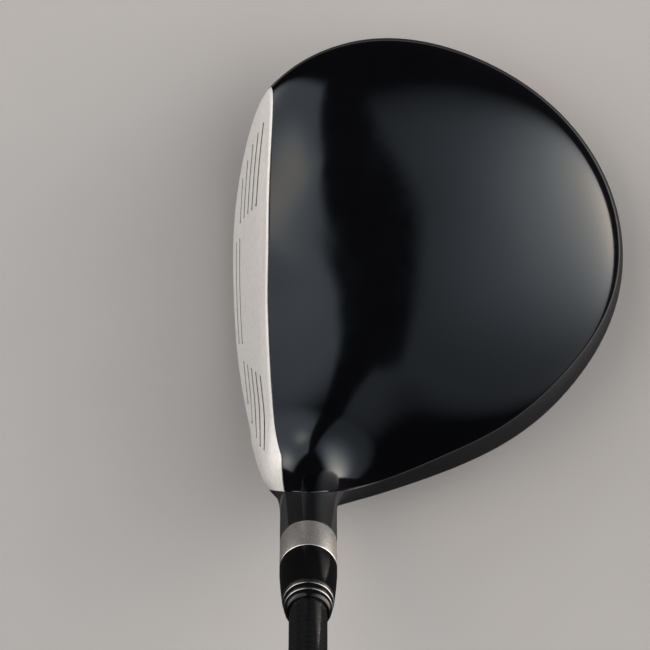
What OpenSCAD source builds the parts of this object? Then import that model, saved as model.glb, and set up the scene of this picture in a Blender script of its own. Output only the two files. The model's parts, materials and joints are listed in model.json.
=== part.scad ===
// Fairway wood with an adjustable hosel: hollow head, indexing shaft sleeve, tapered shaft and grip.
// Millimetres. +Z up, -Y the way the face looks, +X the heel side, -X the toe side.
// The origin is the sole's contact patch, straight below the highest point of the crown.

/* [Club] */
// Length of the club along the shaft axis, from the ground to the end of the grip
club_length = 1092; // [1040:1:1120]
// Angle between the shaft axis and the ground
lie_angle = 57; // [56:0.5:58]
// Loft of the face at its centre
loft_angle = 14; // [13:0.5:15]
// How far the face is turned closed
face_angle = 1.3; // [1:0.1:1.6]

/* [Head] */
// Height of the crown above the ground
head_height = 39; // [38.5:0.1:39.5]
// Outline scale of the head seen from above
head_scale = 1; // [0.97:0.01:1.03]
// Radius of the face's bulge and roll
face_radius = 266; // [254:2:280]
// Distance of the face centre in front of the origin
face_front = 30.7; // [30.4:0.1:31]
// Wall of the cast body
body_wall = 1.2; // [1.0:0.1:1.5]
// Thickness of the crown plate
crown_wall = 0.7; // [0.6:0.1:1.0]
// Thickness of the face plate
face_wall = 2.0; // [1.8:0.1:2.4]

/* [Hosel] */
// Outer radius of the neck, the collar and the foot of the ferrule
neck_r = 6.4; // [6.3:0.05:6.6]
// Distance of the neck's top edge from the ground, along the shaft axis
neck_top = 60.2; // [59:0.2:61]
// Length of the adjusting collar
collar_len = 9.4; // [9:0.1:10]
// Length of the ferrule
ferrule_len = 17; // [16:0.5:18]
// Radius of the shaft tip
tip_r = 4.25; // [4.2:0.01:4.27]

/* [Shaft and grip] */
// Radius of the parallel section below the grip
clamp_r = 7.0; // [6.8:0.1:7.2]
// Radius of the shaft's butt end
butt_r = 7.6; // [7.5:0.05:7.7]
// Length of the grip with its cap
grip_len = 267; // [260:1:275]
// Outer radius of the grip at its mouth
grip_mouth_r = 9.3; // [9.1:0.1:9.8]
// Outer radius of the grip just below its cap
grip_butt_r = 12.6; // [12.2:0.1:13]

/* [Fits] */
// Gap between parts that are bonded or welded
seam_gap = 0.03; // [0.02:0.01:0.05]
// Radial clearance of parts that slide or turn
run_gap = 0.05; // [0.03:0.01:0.08]

/* [Hidden] */
$fn = 64;

// Half widths of the head's outline about the origin, one every 22.5 degrees from the heel (+X)
// round the back (+Y) and the toe (-X). Six of the last seven lie in front of the face, which cuts them.
outline = [46.7, 44.2, 46.2, 50.3, 55.5, 58.2, 58.4, 58, 57.7, 54.1, 48.4, 45.5, 42.5, 42.4, 45.8, 51.2];
// Height of the widest point of the skirt, at the same angles
rim_heights = [15, 13.8, 13.5, 13.2, 13, 13.8, 15.2, 17, 21, 26, 25.5, 23, 20.5, 19.5, 20.2, 19.5];
// How far the crown's edge lies inside the outline, one every 45 degrees
seam_insets = [3.6, 3.4, 1.1, 0.7, 0.6, 0.6, 0.6, 3.6];

// Height of the face's centre
face_middle = 18;

// Exponents of the crown's and the sole's profile curves
crown_power = 2;
crown_root = 2.2;
sole_power = 2.6;
sole_root = 2.2;
// Part of the radius that the flat contact patch takes, and the turn that ends the sole's rings in it
patch_ratio = 0.1;
inner_turn = 84.5;

// Shaft axis: where it meets the ground, and its place front to back
axis_x = 23.8;
axis_y = -15.9;
// Where the crown's edge crosses the neck, and the width and height of the block that marks it
crown_end_x = 45.3;
end_width = 40;
end_height = 80;
// Softness of the blend between the crown and the neck
neck_blend = 7;
// How far the face plate is lifted off the body's edge, and the crown's inner skin set in at its corners
face_lift = 0.8 * seam_gap;
corner_inset = 1.2;
// Distance between the outer and the inner end of the crown at the neck
end_inset = 0.7;
// Radius of the hosel tube below the crown
tube_r = neck_r - 0.5;

// Bottom of the hosel tube, above the ground
port_z = 1.5;
// Places along the shaft axis, measured from the ground
shelf_low = 20;
shelf_high = 24;
sleeve_low = 26;
socket_low = 38;
collar_top = neck_top + collar_len;
ferrule_top = collar_top + ferrule_len;
shaft_butt = club_length - 4;
grip_low = club_length - grip_len;
clamp_low = grip_low - 52;

// Play of the screw's head in its port, of its shank in the shelf, and of the spigot's end
port_play = 0.5;
shank_play = 0.4;
spigot_play = 0.1;
washer_h = 1;

// Hosel stack: sleeve, its flange, the screw, and the collar's spigot and lugs
sleeve_r = 4.9;
sleeve_bore = tip_r + seam_gap;
flange_r = 5.6;
flange_h = 2;
screw_r = 2.45;
screw_head_r = 4.2;
screw_head_h = 4.5;
screw_shank = 17;
retainer_h = 1;
socket_r = 2.1;
spigot_r = 5.5;
spigot_len = 2.5;
lug_count = 4;
lug_w = 2;
lug_r = 5.9;

// Ferrule: height of its straight foot, of the place where its taper steepens, and of its top chamfer
ferrule_foot = 3;
ferrule_shoulder = 12;
ferrule_chamfer = 0.7;

// Trim rings: where each starts and ends above the ferrule's foot, and how deep it sits
ring_low = [12.2, 13.3];
ring_high = [14.6, 15.2];
ring_depth = 0.6;

// Shaft: its wall, and the place along the axis where its parallel tip ends
shaft_wall = 0.9;
tip_end = 100;

// Plug in the shaft tip, tape under the grip, grip cap and its vent hole
plug_r = 2.6;
tape_wall = 0.15;
cap_len = 8;
cap_r = 15.6;
vent_r = 1.25;
cap_wall = 4;
cap_play = 0.1;

// Sole weight and its port
weight_x = -4;
weight_y = 30;
weight_r = 8.5;
port_r = 11;
port_low = 1;
recess_depth = 4;
boss_height = 12;
boss_r = 4.6;
seat_wall = 1.2;
// Weight's screw: radius and height of its head, and the floor of the counterbore it sits on
bolt_head_r = 4.4;
bolt_head_h = 2.2;
counterbore = 2.4;
// Gap left between the end of the weight's screw and the top of its boss
bolt_clear = 1.8;

// Weight bar: the angles and the parts of the head's half width that it covers, and its height
bar_from = 140;
bar_to = 200;
bar_inner = 0.5;
bar_outer = 0.75;
bar_height = 3;
// Thickness of the adhesive under the bar
bar_bed = 0.3;

// Grid of the head's surfaces
back_steps = 40;
front_steps = 22;
crown_rings = 11;
strip_rings = 3;
sole_rings = 9;
face_rows = 7;

// ---------------------------------------------------------------- curves

// Value of a closed smooth curve through the values in list, at an angle in degrees
function around(list, angle) =
    let(n = len(list),
        place = (angle % 360 + 360) % 360 / 360 * n,
        i = floor(place),
        f = place - i,
        a = list[(i + n - 1) % n],
        b = list[i % n],
        c = list[(i + 1) % n],
        d = list[(i + 2) % n])
    b + 0.5 * f * (c - a + f * (2 * a - 5 * b + 4 * c - d + f * (3 * (b - c) + d - a)));

function smooth_max(a, b, soft) = 0.5 * (a + b + sqrt((a - b) * (a - b) + soft * soft));

// Point at an angle, radius and height
function polar(angle, r, z) = [r * cos(angle), r * sin(angle), z];

// Root of the sign change of miss() between low and high; kind says which curve is meant
function halve(low, high, angle, kind, inner, steps = 18) =
    steps == 0 ? (low + high) / 2 :
    let(middle = (low + high) / 2)
    outside(angle, middle, kind, inner)
        ? halve(low, middle, angle, kind, inner, steps - 1)
        : halve(middle, high, angle, kind, inner, steps - 1);

// ---------------------------------------------------------------- head surfaces
// inner is 0 for the outer skin and 1 for the inner skin.

function side(angle, inner) = head_scale * around(outline, angle) - inner * body_wall;
function rim_z(angle) = around(rim_heights, angle);

// Height of the crown's dome, before the neck rises out of it
function dome(angle, r, inner) =
    let(t = min(1, r / side(angle, inner)),
        top = head_height - inner * crown_wall,
        rim = rim_z(angle))
    rim + (top - rim) * pow(1 - pow(t, crown_power), 1 / crown_root);

// Height of the saddle that carries the crown up the neck
function saddle(x, y, inner) =
    let(r = inner == 1 ? tube_r + run_gap : neck_r,
        dy = y - axis_y)
    (x - axis_x) * tan(lie_angle) + (r - dy * dy / (2 * r)) / cos(lie_angle);

function crown_z(angle, r, inner) =
    smooth_max(dome(angle, r, inner), saddle(r * cos(angle), r * sin(angle), inner), neck_blend);

function sole_z(angle, r, inner) =
    let(t = max(0, min(1, r / side(angle, inner)) - patch_ratio) / (1 - patch_ratio),
        rim = rim_z(angle) - inner * body_wall)
    inner * body_wall + rim * (1 - pow(1 - pow(t, sole_power), 1 / sole_root));

// The face is part of a sphere, tilted by the loft and turned by the face angle
face_normal = [sin(face_angle) * cos(loft_angle), -cos(face_angle) * cos(loft_angle), sin(loft_angle)];
face_centre = [0, -face_front, face_middle] - face_radius * face_normal;

function past_face(p, inner) = norm(p - face_centre) > face_radius - inner * face_wall;

// Tests for halve(): 0 the crown, 1 the sole, 2 the outline itself
function outside(angle, value, kind, inner) =
    kind == 0 ? past_face(polar(angle, value, dome(angle, value, inner)), inner) :
    kind == 1 ? past_face(polar(angle, value, sole_z(angle, value, inner)), inner) :
    past_face(polar(value, side(value, inner), rim_z(value)), inner);

// Angles at which the outline runs into the face: toe and heel
toe_angle = halve(190, 240, 0, 2, 0);
heel_angle = halve(-5, -55, 0, 2, 0);

// Columns of the grid: the back from heel to toe, then the front from toe to heel
angles = [
    for (i = [0 : back_steps]) heel_angle + (toe_angle - heel_angle) * i / back_steps,
    for (i = [1 : front_steps - 1]) toe_angle + (360 + heel_angle - toe_angle) * i / front_steps
];
columns = len(angles);
function is_front(i) = i == 0 || i >= back_steps;
function is_corner(i) = i == 0 || i == back_steps;

// Radius of the crown's edge and of the body's edge in a column
function top_edge(i, inner) =
    let(a = angles[i],
        end = (crown_end_x - inner * end_inset) / max(0.2, cos(a)))
    is_corner(i) ? side(a, inner) - inner * corner_inset :
    is_front(i) ? min(halve(5, side(a, inner), a, 0, inner), end) :
    min(side(a, inner) - around(seam_insets, a), end);

function bottom_edge(i, inner) =
    let(a = angles[i])
    is_corner(i) ? side(a, inner) - inner * corner_inset : halve(5, side(a, inner), a, 1, inner);

top_edges = [for (inner = [0, 1]) [for (i = [0 : columns - 1]) top_edge(i, inner)]];
bottom_edges = [for (inner = [0, 1]) [for (i = [0 : columns - 1]) is_front(i) ? bottom_edge(i, inner) : 0]];

function top_point(i, inner) =
    let(a = angles[i], r = top_edges[inner][i])
    is_corner(i) ? polar(a, r, rim_z(a)) : polar(a, r, crown_z(a, r, inner));

function bottom_point(i, inner) =
    let(a = angles[i], r = bottom_edges[inner][i])
    is_corner(i) ? polar(a, r, rim_z(a)) : polar(a, r, sole_z(a, r, inner));

// Crown: rings from the middle outwards
function crown_ring(k, inner) = [
    for (i = [0 : columns - 1])
        let(a = angles[i], r = top_edges[inner][i] * sin(90 * k / crown_rings))
        k == crown_rings ? top_point(i, inner) : polar(a, r, crown_z(a, r, inner))
];

// Body: rings from its edge over the skirt and under the sole
function strip_point(i, k, inner) =
    let(a = angles[i],
        edge = top_edges[inner][i],
        w = k / strip_rings,
        r = edge + (side(a, inner) - edge) * sin(90 * w),
        lift = crown_z(a, edge, inner) - dome(a, edge, inner))
    polar(a, r, dome(a, r, inner) + lift * (1 - w) * (1 - w));

function body_point(i, k, inner) =
    let(a = angles[i],
        start = is_front(i) ? bottom_edges[inner][i] : side(a, inner),
        v = is_front(i) ? k / (strip_rings + sole_rings) : (k - strip_rings) / sole_rings,
        r = start * cos(inner_turn * v))
    k == 0 ? (is_front(i) ? bottom_point(i, inner) : top_point(i, inner)) :
    !is_front(i) && k <= strip_rings ? strip_point(i, k, inner) :
    polar(a, r, sole_z(a, r, inner));

function body_ring(k, inner) = [for (i = [0 : columns - 1]) body_point(i, k, inner)];

// ---------------------------------------------------------------- mesh helpers

function flat(lists) = [for (list = lists) for (item = list) item];

// Closed shell from two stacks of rings that share their first ring's edge
module ring_shell(outer, inner, outer_tip, inner_tip, flip) {
    n = len(outer[0]);
    m = len(outer);
    points = concat(flat(outer), flat(inner), [outer_tip, inner_tip]);
    shift = n * m;
    tip = 2 * shift;
    function quad(a, b, c, d) = [[a, b, c], [a, c, d]];
    function wall(base, turn) = flat([
        for (k = [0 : m - 2]) for (i = [0 : n - 1])
            let(j = (i + 1) % n,
                a = base + k * n + i,
                b = base + k * n + j,
                c = base + (k + 1) * n + j,
                d = base + (k + 1) * n + i)
            turn ? quad(a, d, c, b) : quad(a, b, c, d)
    ]);
    faces = concat(
        wall(0, flip),
        wall(shift, !flip),
        flat([for (i = [0 : n - 1])
            let(j = (i + 1) % n, a = i, b = j, c = shift + j, d = shift + i)
            flip ? quad(a, b, c, d) : quad(a, d, c, b)]),
        [for (i = [0 : n - 1])
            let(j = (i + 1) % n, a = (m - 1) * n + i, b = (m - 1) * n + j)
            flip ? [a, tip, b] : [a, b, tip]],
        [for (i = [0 : n - 1])
            let(j = (i + 1) % n, a = shift + (m - 1) * n + i, b = shift + (m - 1) * n + j)
            flip ? [a, b, tip + 1] : [a, tip + 1, b]]);
    polyhedron(points, faces, convexity = 6);
}

// Puts its children on the shaft axis, with their z measured from the ground along the axis
module on_axis() {
    translate([axis_x, axis_y, 0]) rotate([0, 90 - lie_angle, 0]) children();
}

// Turned part from a list of [radius, height] points
module turned(profile) {
    rotate_extrude() polygon(profile);
}

// Ring between two radii and two heights
module ring(outer_r, inner_r, low, high) {
    turned([[inner_r, low], [outer_r, low], [outer_r, high], [inner_r, high]]);
}

// ---------------------------------------------------------------- head

// Space that the hosel tube takes, grown by gap
module hosel_space(gap) {
    on_axis() cylinder(r = tube_r + gap, h = neck_top - 1);
    intersection() {
        on_axis() cylinder(r = neck_r + gap, h = neck_top + 2);
        translate([crown_end_x, axis_y - end_width / 2, 0]) cube([end_width, end_width, end_height]);
    }
}

module head_body() {
    color([0.16, 0.17, 0.19])
    difference() {
        ring_shell(
            [for (k = [0 : strip_rings + sole_rings]) body_ring(k, 0)],
            [for (k = [0 : strip_rings + sole_rings]) body_ring(k, 1)],
            [0, 0, 0], [0, 0, body_wall], false);
        hosel_space(seam_gap);
        translate([weight_x, weight_y, -1]) cylinder(r = port_r + seam_gap, h = 12);
    }
}

module crown() {
    color([0.03, 0.03, 0.04])
    difference() {
        translate([0, 0, seam_gap])
        ring_shell(
            [for (k = [crown_rings : -1 : 1]) crown_ring(k, 0)],
            [for (k = [crown_rings : -1 : 1]) crown_ring(k, 1)],
            [0, 0, crown_z(0, 0, 0)], [0, 0, crown_z(0, 0, 1)], true);
        hosel_space(seam_gap);
    }
}

// Face plate: columns of points from the crown's edge down to the leading edge
function on_face(p, inner) =
    let(d = p - face_centre)
    face_centre + d * (face_radius - inner * face_wall) / norm(d);

function face_point(i, row, inner) =
    let(t = top_point(i, inner),
        l = bottom_point(i, inner),
        p = t + (l - t) * row / face_rows,
        grip_on = min(1, row / 3))
    row == face_rows ? l : p + (on_face(p, inner) - p) * grip_on;

module face_plate() {
    color([0.78, 0.78, 0.78])
    difference() {
        translate([0, -seam_gap, face_lift]) face_shell();
        hosel_space(seam_gap);
    }
}

module face_shell() {
    rows = face_rows + 1;
    count = front_steps - 1;
    skin = function(inner) flat([
        for (c = [1 : count]) [for (row = [0 : face_rows]) face_point(back_steps + c, row, inner)]
    ]);
    outer = concat(skin(0), [top_point(back_steps, 0), top_point(0, 0)]);
    inner = concat(skin(1), [top_point(back_steps, 1), top_point(0, 1)]);
    shift = len(outer);
    toe = count * rows;
    heel = toe + 1;
    front = concat(
        flat([for (c = [0 : count - 2]) for (row = [0 : face_rows - 1])
            let(a = c * rows + row, b = a + 1, d = a + rows, e = d + 1)
            [[a, d, b], [d, e, b]]]),
        [for (row = [0 : face_rows - 1]) [toe, row, row + 1]],
        [for (row = [0 : face_rows - 1])
            let(a = (count - 1) * rows + row) [heel, a + 1, a]]);
    rim = concat(
        [toe], [for (c = [0 : count - 1]) c * rows],
        [heel], [for (c = [count - 1 : -1 : 0]) c * rows + face_rows]);
    edge = flat([for (k = [0 : len(rim) - 1])
        let(a = rim[k], b = rim[(k + 1) % len(rim)])
        k > count
            ? [[a, shift + a, b], [shift + a, shift + b, b]]
            : [[a, shift + a, shift + b], [a, shift + b, b]]]);
    back = [for (f = front) [f[0] + shift, f[2] + shift, f[1] + shift]];
    polyhedron(concat(outer, inner), concat(front, back, edge), convexity = 4);
}

// Hosel tube: sleeve socket above the shelf, screw port below it, lug slots in its top edge
module hosel() {
    color([0.16, 0.17, 0.19])
    difference() {
        union() {
            on_axis() cylinder(r = tube_r, h = neck_top - 1);
            intersection() {
                on_axis() cylinder(r = neck_r, h = neck_top);
                translate([crown_end_x + seam_gap, axis_y - end_width / 2, 0])
                    cube([end_width, end_width, end_height]);
            }
        }
        on_axis() {
            translate([0, 0, -10]) cylinder(r = screw_head_r + port_play, h = shelf_low + 10);
            cylinder(r = screw_r + shank_play, h = neck_top);
            translate([0, 0, shelf_high]) cylinder(r = sleeve_r + run_gap, h = neck_top);
            translate([0, 0, neck_top - spigot_len - spigot_play])
                cylinder(r = spigot_r + run_gap, h = spigot_len + 1);
            for (turn = [0 : lug_count - 1]) rotate([0, 0, turn * 360 / lug_count])
                translate([0, -lug_w / 2 - run_gap, neck_top - spigot_len - spigot_play])
                    cube([lug_r + run_gap, lug_w + 2 * run_gap, spigot_len + 1]);
        }
        translate([-20, -60, -20]) cube([100, 100, 20 + port_z]);
    }
}

// Weight bar bonded to the inside of the sole at the toe
function bar_point(angle, ratio, top) =
    let(r = ratio * side(angle, 1), floor_z = sole_z(angle, r, 1))
    polar(angle, r, floor_z + (top ? bar_height : bar_bed));

module weight_bar() {
    spans = 10;
    bands = 3;
    ring_at = function(ratio, top) [for (i = [0 : spans])
        bar_point(bar_from + (bar_to - bar_from) * i / spans, ratio, top)];
    layer = function(top) flat([for (k = [0 : bands])
        ring_at(bar_inner + (bar_outer - bar_inner) * k / bands, top)]);
    shift = (spans + 1) * (bands + 1);
    at = function(i, k) k * (spans + 1) + i;
    top_faces = flat([for (i = [0 : spans - 1]) for (k = [0 : bands - 1])
        let(a = at(i, k), b = at(i + 1, k), c = at(i + 1, k + 1), d = at(i, k + 1))
        [[a, b, c], [a, c, d]]]);
    rim = concat(
        [for (i = [0 : spans]) at(i, 0)],
        [for (k = [1 : bands]) at(spans, k)],
        [for (i = [spans - 1 : -1 : 0]) at(i, bands)],
        [for (k = [bands - 1 : -1 : 1]) at(0, k)]);
    edge = flat([for (k = [0 : len(rim) - 1])
        let(a = rim[k], b = rim[(k + 1) % len(rim)])
        [[b, a, a + shift], [b, a + shift, b + shift]]]);
    bottom_faces = [for (f = top_faces) [f[0] + shift, f[2] + shift, f[1] + shift]];
    color([0.45, 0.45, 0.47])
    polyhedron(concat(layer(true), layer(false)), concat(top_faces, bottom_faces, edge), convexity = 4);
}

// Port welded into the sole: recess for the weight, threaded boss above it
module weight_port() {
    color([0.5, 0.5, 0.52])
    translate([weight_x, weight_y, port_low])
    difference() {
        union() {
            cylinder(r = port_r, h = recess_depth + seat_wall);
            cylinder(r = boss_r, h = boss_height);
        }
        translate([0, 0, -1]) cylinder(r = weight_r + run_gap, h = recess_depth + 1);
        cylinder(r = screw_r + run_gap, h = boss_height - 1);
    }
}

module sole_weight() {
    color([0.62, 0.62, 0.64])
    translate([weight_x, weight_y, port_low])
    difference() {
        cylinder(r = weight_r, h = recess_depth - seam_gap);
        translate([0, 0, -1]) cylinder(r = boss_r, h = 1 + counterbore);
        cylinder(r = screw_r + 0.2, h = recess_depth);
    }
}

// Cap screw with a hexagon socket; its head is at the bottom
module cap_screw(head_r, head_h, shank_h) {
    difference() {
        union() {
            cylinder(r = head_r, h = head_h);
            cylinder(r = screw_r, h = head_h + shank_h);
        }
        translate([0, 0, -1]) cylinder(r = socket_r, h = 1 + head_h * 0.65, $fn = 6);
    }
}

module sole_weight_screw() {
    color([0.2, 0.2, 0.22])
    translate([weight_x, weight_y, port_low + counterbore - bolt_head_h])
    cap_screw(bolt_head_r, bolt_head_h - seam_gap, boss_height - counterbore - bolt_clear);
}

// ---------------------------------------------------------------- hosel stack

module hosel_screw() {
    color([0.35, 0.35, 0.37])
    on_axis() translate([0, 0, shelf_low - washer_h - screw_head_h])
    cap_screw(screw_head_r, screw_head_h - seam_gap, screw_shank);
}

module screw_washer() {
    color([0.7, 0.7, 0.7])
    on_axis() ring(screw_head_r, screw_r + seam_gap, shelf_low - washer_h, shelf_low - seam_gap);
}

module screw_retainer() {
    color([0.25, 0.25, 0.25])
    on_axis() ring(sleeve_r - 0.3, screw_r + seam_gap, shelf_high + seam_gap, shelf_high + retainer_h);
}

// Collar: turned band with a spigot and lugs that seat in the hosel's top edge
module hosel_collar() {
    color([0.8, 0.8, 0.8])
    on_axis()
    difference() {
        union() {
            ring(neck_r, sleeve_r + run_gap, neck_top + seam_gap, collar_top - seam_gap);
            ring(spigot_r, sleeve_r + run_gap, neck_top - spigot_len, neck_top + 1);
            for (turn = [0 : lug_count - 1]) rotate([0, 0, turn * 360 / lug_count])
                translate([sleeve_r + 0.3, -lug_w / 2, neck_top - spigot_len])
                    cube([lug_r - sleeve_r - 0.3, lug_w, spigot_len + 1]);
        }
    }
}

// Sleeve: threaded foot, shaft socket and a flange that presses on the collar
module shaft_sleeve() {
    color([0.1, 0.1, 0.11])
    on_axis()
    turned([
        [screw_r + run_gap, sleeve_low],
        [sleeve_r, sleeve_low],
        [sleeve_r, collar_top],
        [flange_r, collar_top],
        [flange_r, collar_top + flange_h],
        [sleeve_bore, collar_top + flange_h],
        [sleeve_bore, socket_low],
        [screw_r + run_gap, socket_low]
    ]);
}

// Outer radius of the ferrule at a height above its foot
function ferrule_r(h) = lookup(h, [
    [0, neck_r],
    [ferrule_foot, neck_r],
    [ferrule_shoulder, neck_r - 0.57],
    [ferrule_len - ferrule_chamfer, neck_r - 1.25],
    [ferrule_len, neck_r - 1.65]
]);

module ferrule() {
    low = ring_low;
    high = ring_high;
    color([0.03, 0.03, 0.03])
    on_axis() translate([0, 0, collar_top])
    turned([
        [flange_r + seam_gap, 0],
        [ferrule_r(0), 0],
        [ferrule_r(ferrule_foot), ferrule_foot],
        [ferrule_r(low[0]), low[0]],
        [ferrule_r(low[0]) - ring_depth, low[0]],
        [ferrule_r(low[0]) - ring_depth, low[1]],
        [ferrule_r(low[1]), low[1]],
        [ferrule_r(high[0]), high[0]],
        [ferrule_r(high[0]) - ring_depth, high[0]],
        [ferrule_r(high[0]) - ring_depth, high[1]],
        [ferrule_r(high[1]), high[1]],
        [ferrule_r(ferrule_len - ferrule_chamfer), ferrule_len - ferrule_chamfer],
        [ferrule_r(ferrule_len), ferrule_len],
        [sleeve_bore, ferrule_len],
        [sleeve_bore, flange_h + seam_gap],
        [flange_r + seam_gap, flange_h + seam_gap]
    ]);
}

// Trim ring in a groove of the ferrule
module trim_ring(span) {
    color([0.75, 0.75, 0.76])
    on_axis() translate([0, 0, collar_top])
    ring(ferrule_r(span[0]) + 0.05, ferrule_r(span[0]) - ring_depth + seam_gap / 2,
         span[0] + seam_gap / 2, span[1] - seam_gap / 2);
}

module ferrule_ring_lower() {
    trim_ring(ring_low);
}

module ferrule_ring_upper() {
    trim_ring(ring_high);
}

// ---------------------------------------------------------------- shaft and grip

function shaft_r(s) = lookup(s, [[0, tip_r], [tip_end, tip_r], [clamp_low, clamp_r], [grip_low, clamp_r],
                                 [shaft_butt, butt_r]]);
function tape_r(s) = shaft_r(s) + seam_gap + tape_wall;
function grip_r(s) = grip_mouth_r + (grip_butt_r - grip_mouth_r) * pow((s - grip_low) / grip_len, 0.9);

module shaft() {
    color([0.05, 0.05, 0.06])
    on_axis()
    turned([
        [plug_r + seam_gap, socket_low + seam_gap],
        [tip_r, socket_low + seam_gap],
        [tip_r, tip_end],
        [clamp_r, clamp_low],
        [clamp_r, grip_low],
        [butt_r, shaft_butt],
        [butt_r - shaft_wall, shaft_butt],
        [clamp_r - shaft_wall, grip_low],
        [clamp_r - shaft_wall, clamp_low],
        [plug_r + seam_gap, tip_end]
    ]);
}

module tip_weight() {
    color([0.75, 0.6, 0.3])
    on_axis() translate([0, 0, socket_low + 0.5])
    union() {
        cylinder(r = plug_r, h = 9);
        cylinder(r = plug_r - 1.2, h = 13);
    }
}

module grip_tape() {
    low = grip_low + 3;
    high = shaft_butt - 3;
    color([0.85, 0.82, 0.7])
    on_axis()
    turned([
        [shaft_r(low) + seam_gap, low],
        [tape_r(low), low],
        [tape_r(high), high],
        [shaft_r(high) + seam_gap, high]
    ]);
}

module grip() {
    top = club_length - cap_len;
    color([0.06, 0.06, 0.06])
    on_axis()
    turned(concat(
        [[tape_r(grip_low) + seam_gap, grip_low]],
        [for (a = [-90 : 30 : 0]) [grip_mouth_r - 1 + cos(a), grip_low + 1 + sin(a)]],
        [for (k = [1 : 6]) let(s = grip_low + (top - grip_low) * k / 6) [grip_r(s), s]],
        [[tape_r(top) + seam_gap, top]]));
}

// Cap: flared and domed end, closed over the shaft's butt, with a vent hole
module grip_cap() {
    foot = grip_r(club_length - cap_len);
    color([0.06, 0.06, 0.06])
    on_axis() translate([0, 0, club_length - cap_len])
    turned(concat(
        [[butt_r + tape_wall + cap_play, seam_gap], [foot, seam_gap]],
        [[cap_r - 0.4, 2.2]],
        [for (a = [0 : 18 : 90]) [cap_r - 3 + 3 * cos(a), cap_len - 3.5 + 3 * sin(a)]],
        [[vent_r, cap_len], [vent_r, cap_len - cap_wall + seam_gap]],
        [[butt_r + tape_wall + cap_play, cap_len - cap_wall + seam_gap]]));
}

head_body();
crown();
face_plate();
hosel();
weight_bar();
weight_port();
sole_weight();
sole_weight_screw();
hosel_screw();
screw_washer();
screw_retainer();
hosel_collar();
shaft_sleeve();
ferrule();
ferrule_ring_lower();
ferrule_ring_upper();
shaft();
tip_weight();
grip_tape();
grip();
grip_cap();
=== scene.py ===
import json
import math

import bmesh
import bpy
import numpy as np
from mathutils import Matrix, Vector


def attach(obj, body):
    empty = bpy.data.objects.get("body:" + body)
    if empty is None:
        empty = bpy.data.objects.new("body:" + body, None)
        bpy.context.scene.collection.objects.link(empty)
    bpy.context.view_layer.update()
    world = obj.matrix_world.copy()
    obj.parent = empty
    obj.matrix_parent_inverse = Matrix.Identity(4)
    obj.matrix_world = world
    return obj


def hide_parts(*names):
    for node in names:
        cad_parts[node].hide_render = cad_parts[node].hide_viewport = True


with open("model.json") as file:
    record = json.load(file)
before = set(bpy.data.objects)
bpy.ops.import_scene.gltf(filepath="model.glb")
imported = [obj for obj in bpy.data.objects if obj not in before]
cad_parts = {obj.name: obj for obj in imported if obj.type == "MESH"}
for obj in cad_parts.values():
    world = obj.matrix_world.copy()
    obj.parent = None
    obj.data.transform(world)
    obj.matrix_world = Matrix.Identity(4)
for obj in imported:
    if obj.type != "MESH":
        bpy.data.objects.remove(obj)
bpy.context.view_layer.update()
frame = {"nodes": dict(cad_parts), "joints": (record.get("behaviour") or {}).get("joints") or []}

MM = 0.001

# ---------------------------------------------------------------- driving dimensions (mm)

# Half widths of the head's outline, every 22.5 degrees from the heel (+X) round the back (+Y)
OUTLINE = [46.7, 44.2, 46.2, 50.3, 55.5, 58.2, 58.4, 58.0,
           57.7, 54.1, 48.4, 46.8, 41.9, 42.4, 45.8, 51.2]
# Height of the skirt's widest point and the inset of the crown's seam, at the same angles
RIM_HEIGHTS = [14, 13.8, 13.5, 13.2, 13, 13.8, 15.2, 17, 21, 26, 25, 23, 20.5, 19.5, 20.5, 20]
SEAM_INSETS = [3.15, 3.8, 4.0, 3.6, 1.6, 0.8, 0.6, 0.55, 0.5, 0.25, 0.2, 0.2, 0.3, 0.6, 1.6, 3.4]
HEAD_HEIGHT = 39.1
CROWN_ROOT = 2.2
SOLE_POWER = 2.6
SOLE_ROOT = 2.2
PATCH_RATIO = 0.1
CORE_RATIO = 0.6
CORE_SIDE = 54.0
CORE_RIM = 14.0

LOFT = math.radians(14.0)
FACE_ANGLE = math.radians(1.34)
FACE_RADIUS = 266.0
FACE_POINT = np.array([0.0, -30.7, 18.0])
FACE_EDGE = 0.7
EDGE_IN = 0.5
EDGE_TOP = 40.0
EDGE_FALL = 9.0
EDGE_FALL_FROM = 25.0

NECK_RADIUS = 6.4
NECK_TOP = 60.2
NECK_ROOT = 24.0
NECK_BLEND = 11.0
CROWN_END = 45.3

SEAM_GAP = 0.16
CROWN_WALL = 0.7
BODY_WALL = 1.2
FACE_WALL = 2.0

# Score lines: height of the top one, pitch, and ends of each from the top down
SCORE_TOP = 27.2
SCORE_PITCH = 3.5
SCORE_TOE = [(-38.5, -19.2), (-36.2, -18.3), (-33.5, -17.4), (-30.2, -16.5), (-25.9, -15.6)]
SCORE_HEEL = [(19.2, 36.6), (18.4, 35.6), (17.6, 33.7), (16.8, 30.4), (16.0, 26.0)]
SCORE_MIDDLE = [(4, -12.2, 12.3), (5, -11.5, 12.3)]
SCORE_HALF = 0.7
SCORE_DEPTH = 0.25
SCORE_INKED = 0.06  # depth at which a groove is fully black
SCORE_RUN_OUT = 0.6

# Hosel stack: places along the shaft axis, then radii
SHELF_LOW, SHELF_HIGH = 20.0, 24.0
SLEEVE_LOW = 26.0
SOCKET_LOW = 38.0
FLANGE_HEIGHT = 2.0
TUBE_RADIUS = 5.9
TUBE_BORE = 4.95
SPIGOT_BORE, SPIGOT_RADIUS, SPIGOT_LENGTH = 5.55, 5.5, 2.5
LUG_COUNT = 4
SCREW_PORT = 4.7
SCREW_RADIUS = 2.45
SLEEVE_RADIUS, FLANGE_RADIUS, TIP_BORE = 4.9, 5.6, 4.28
PLAY = 0.03

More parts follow.
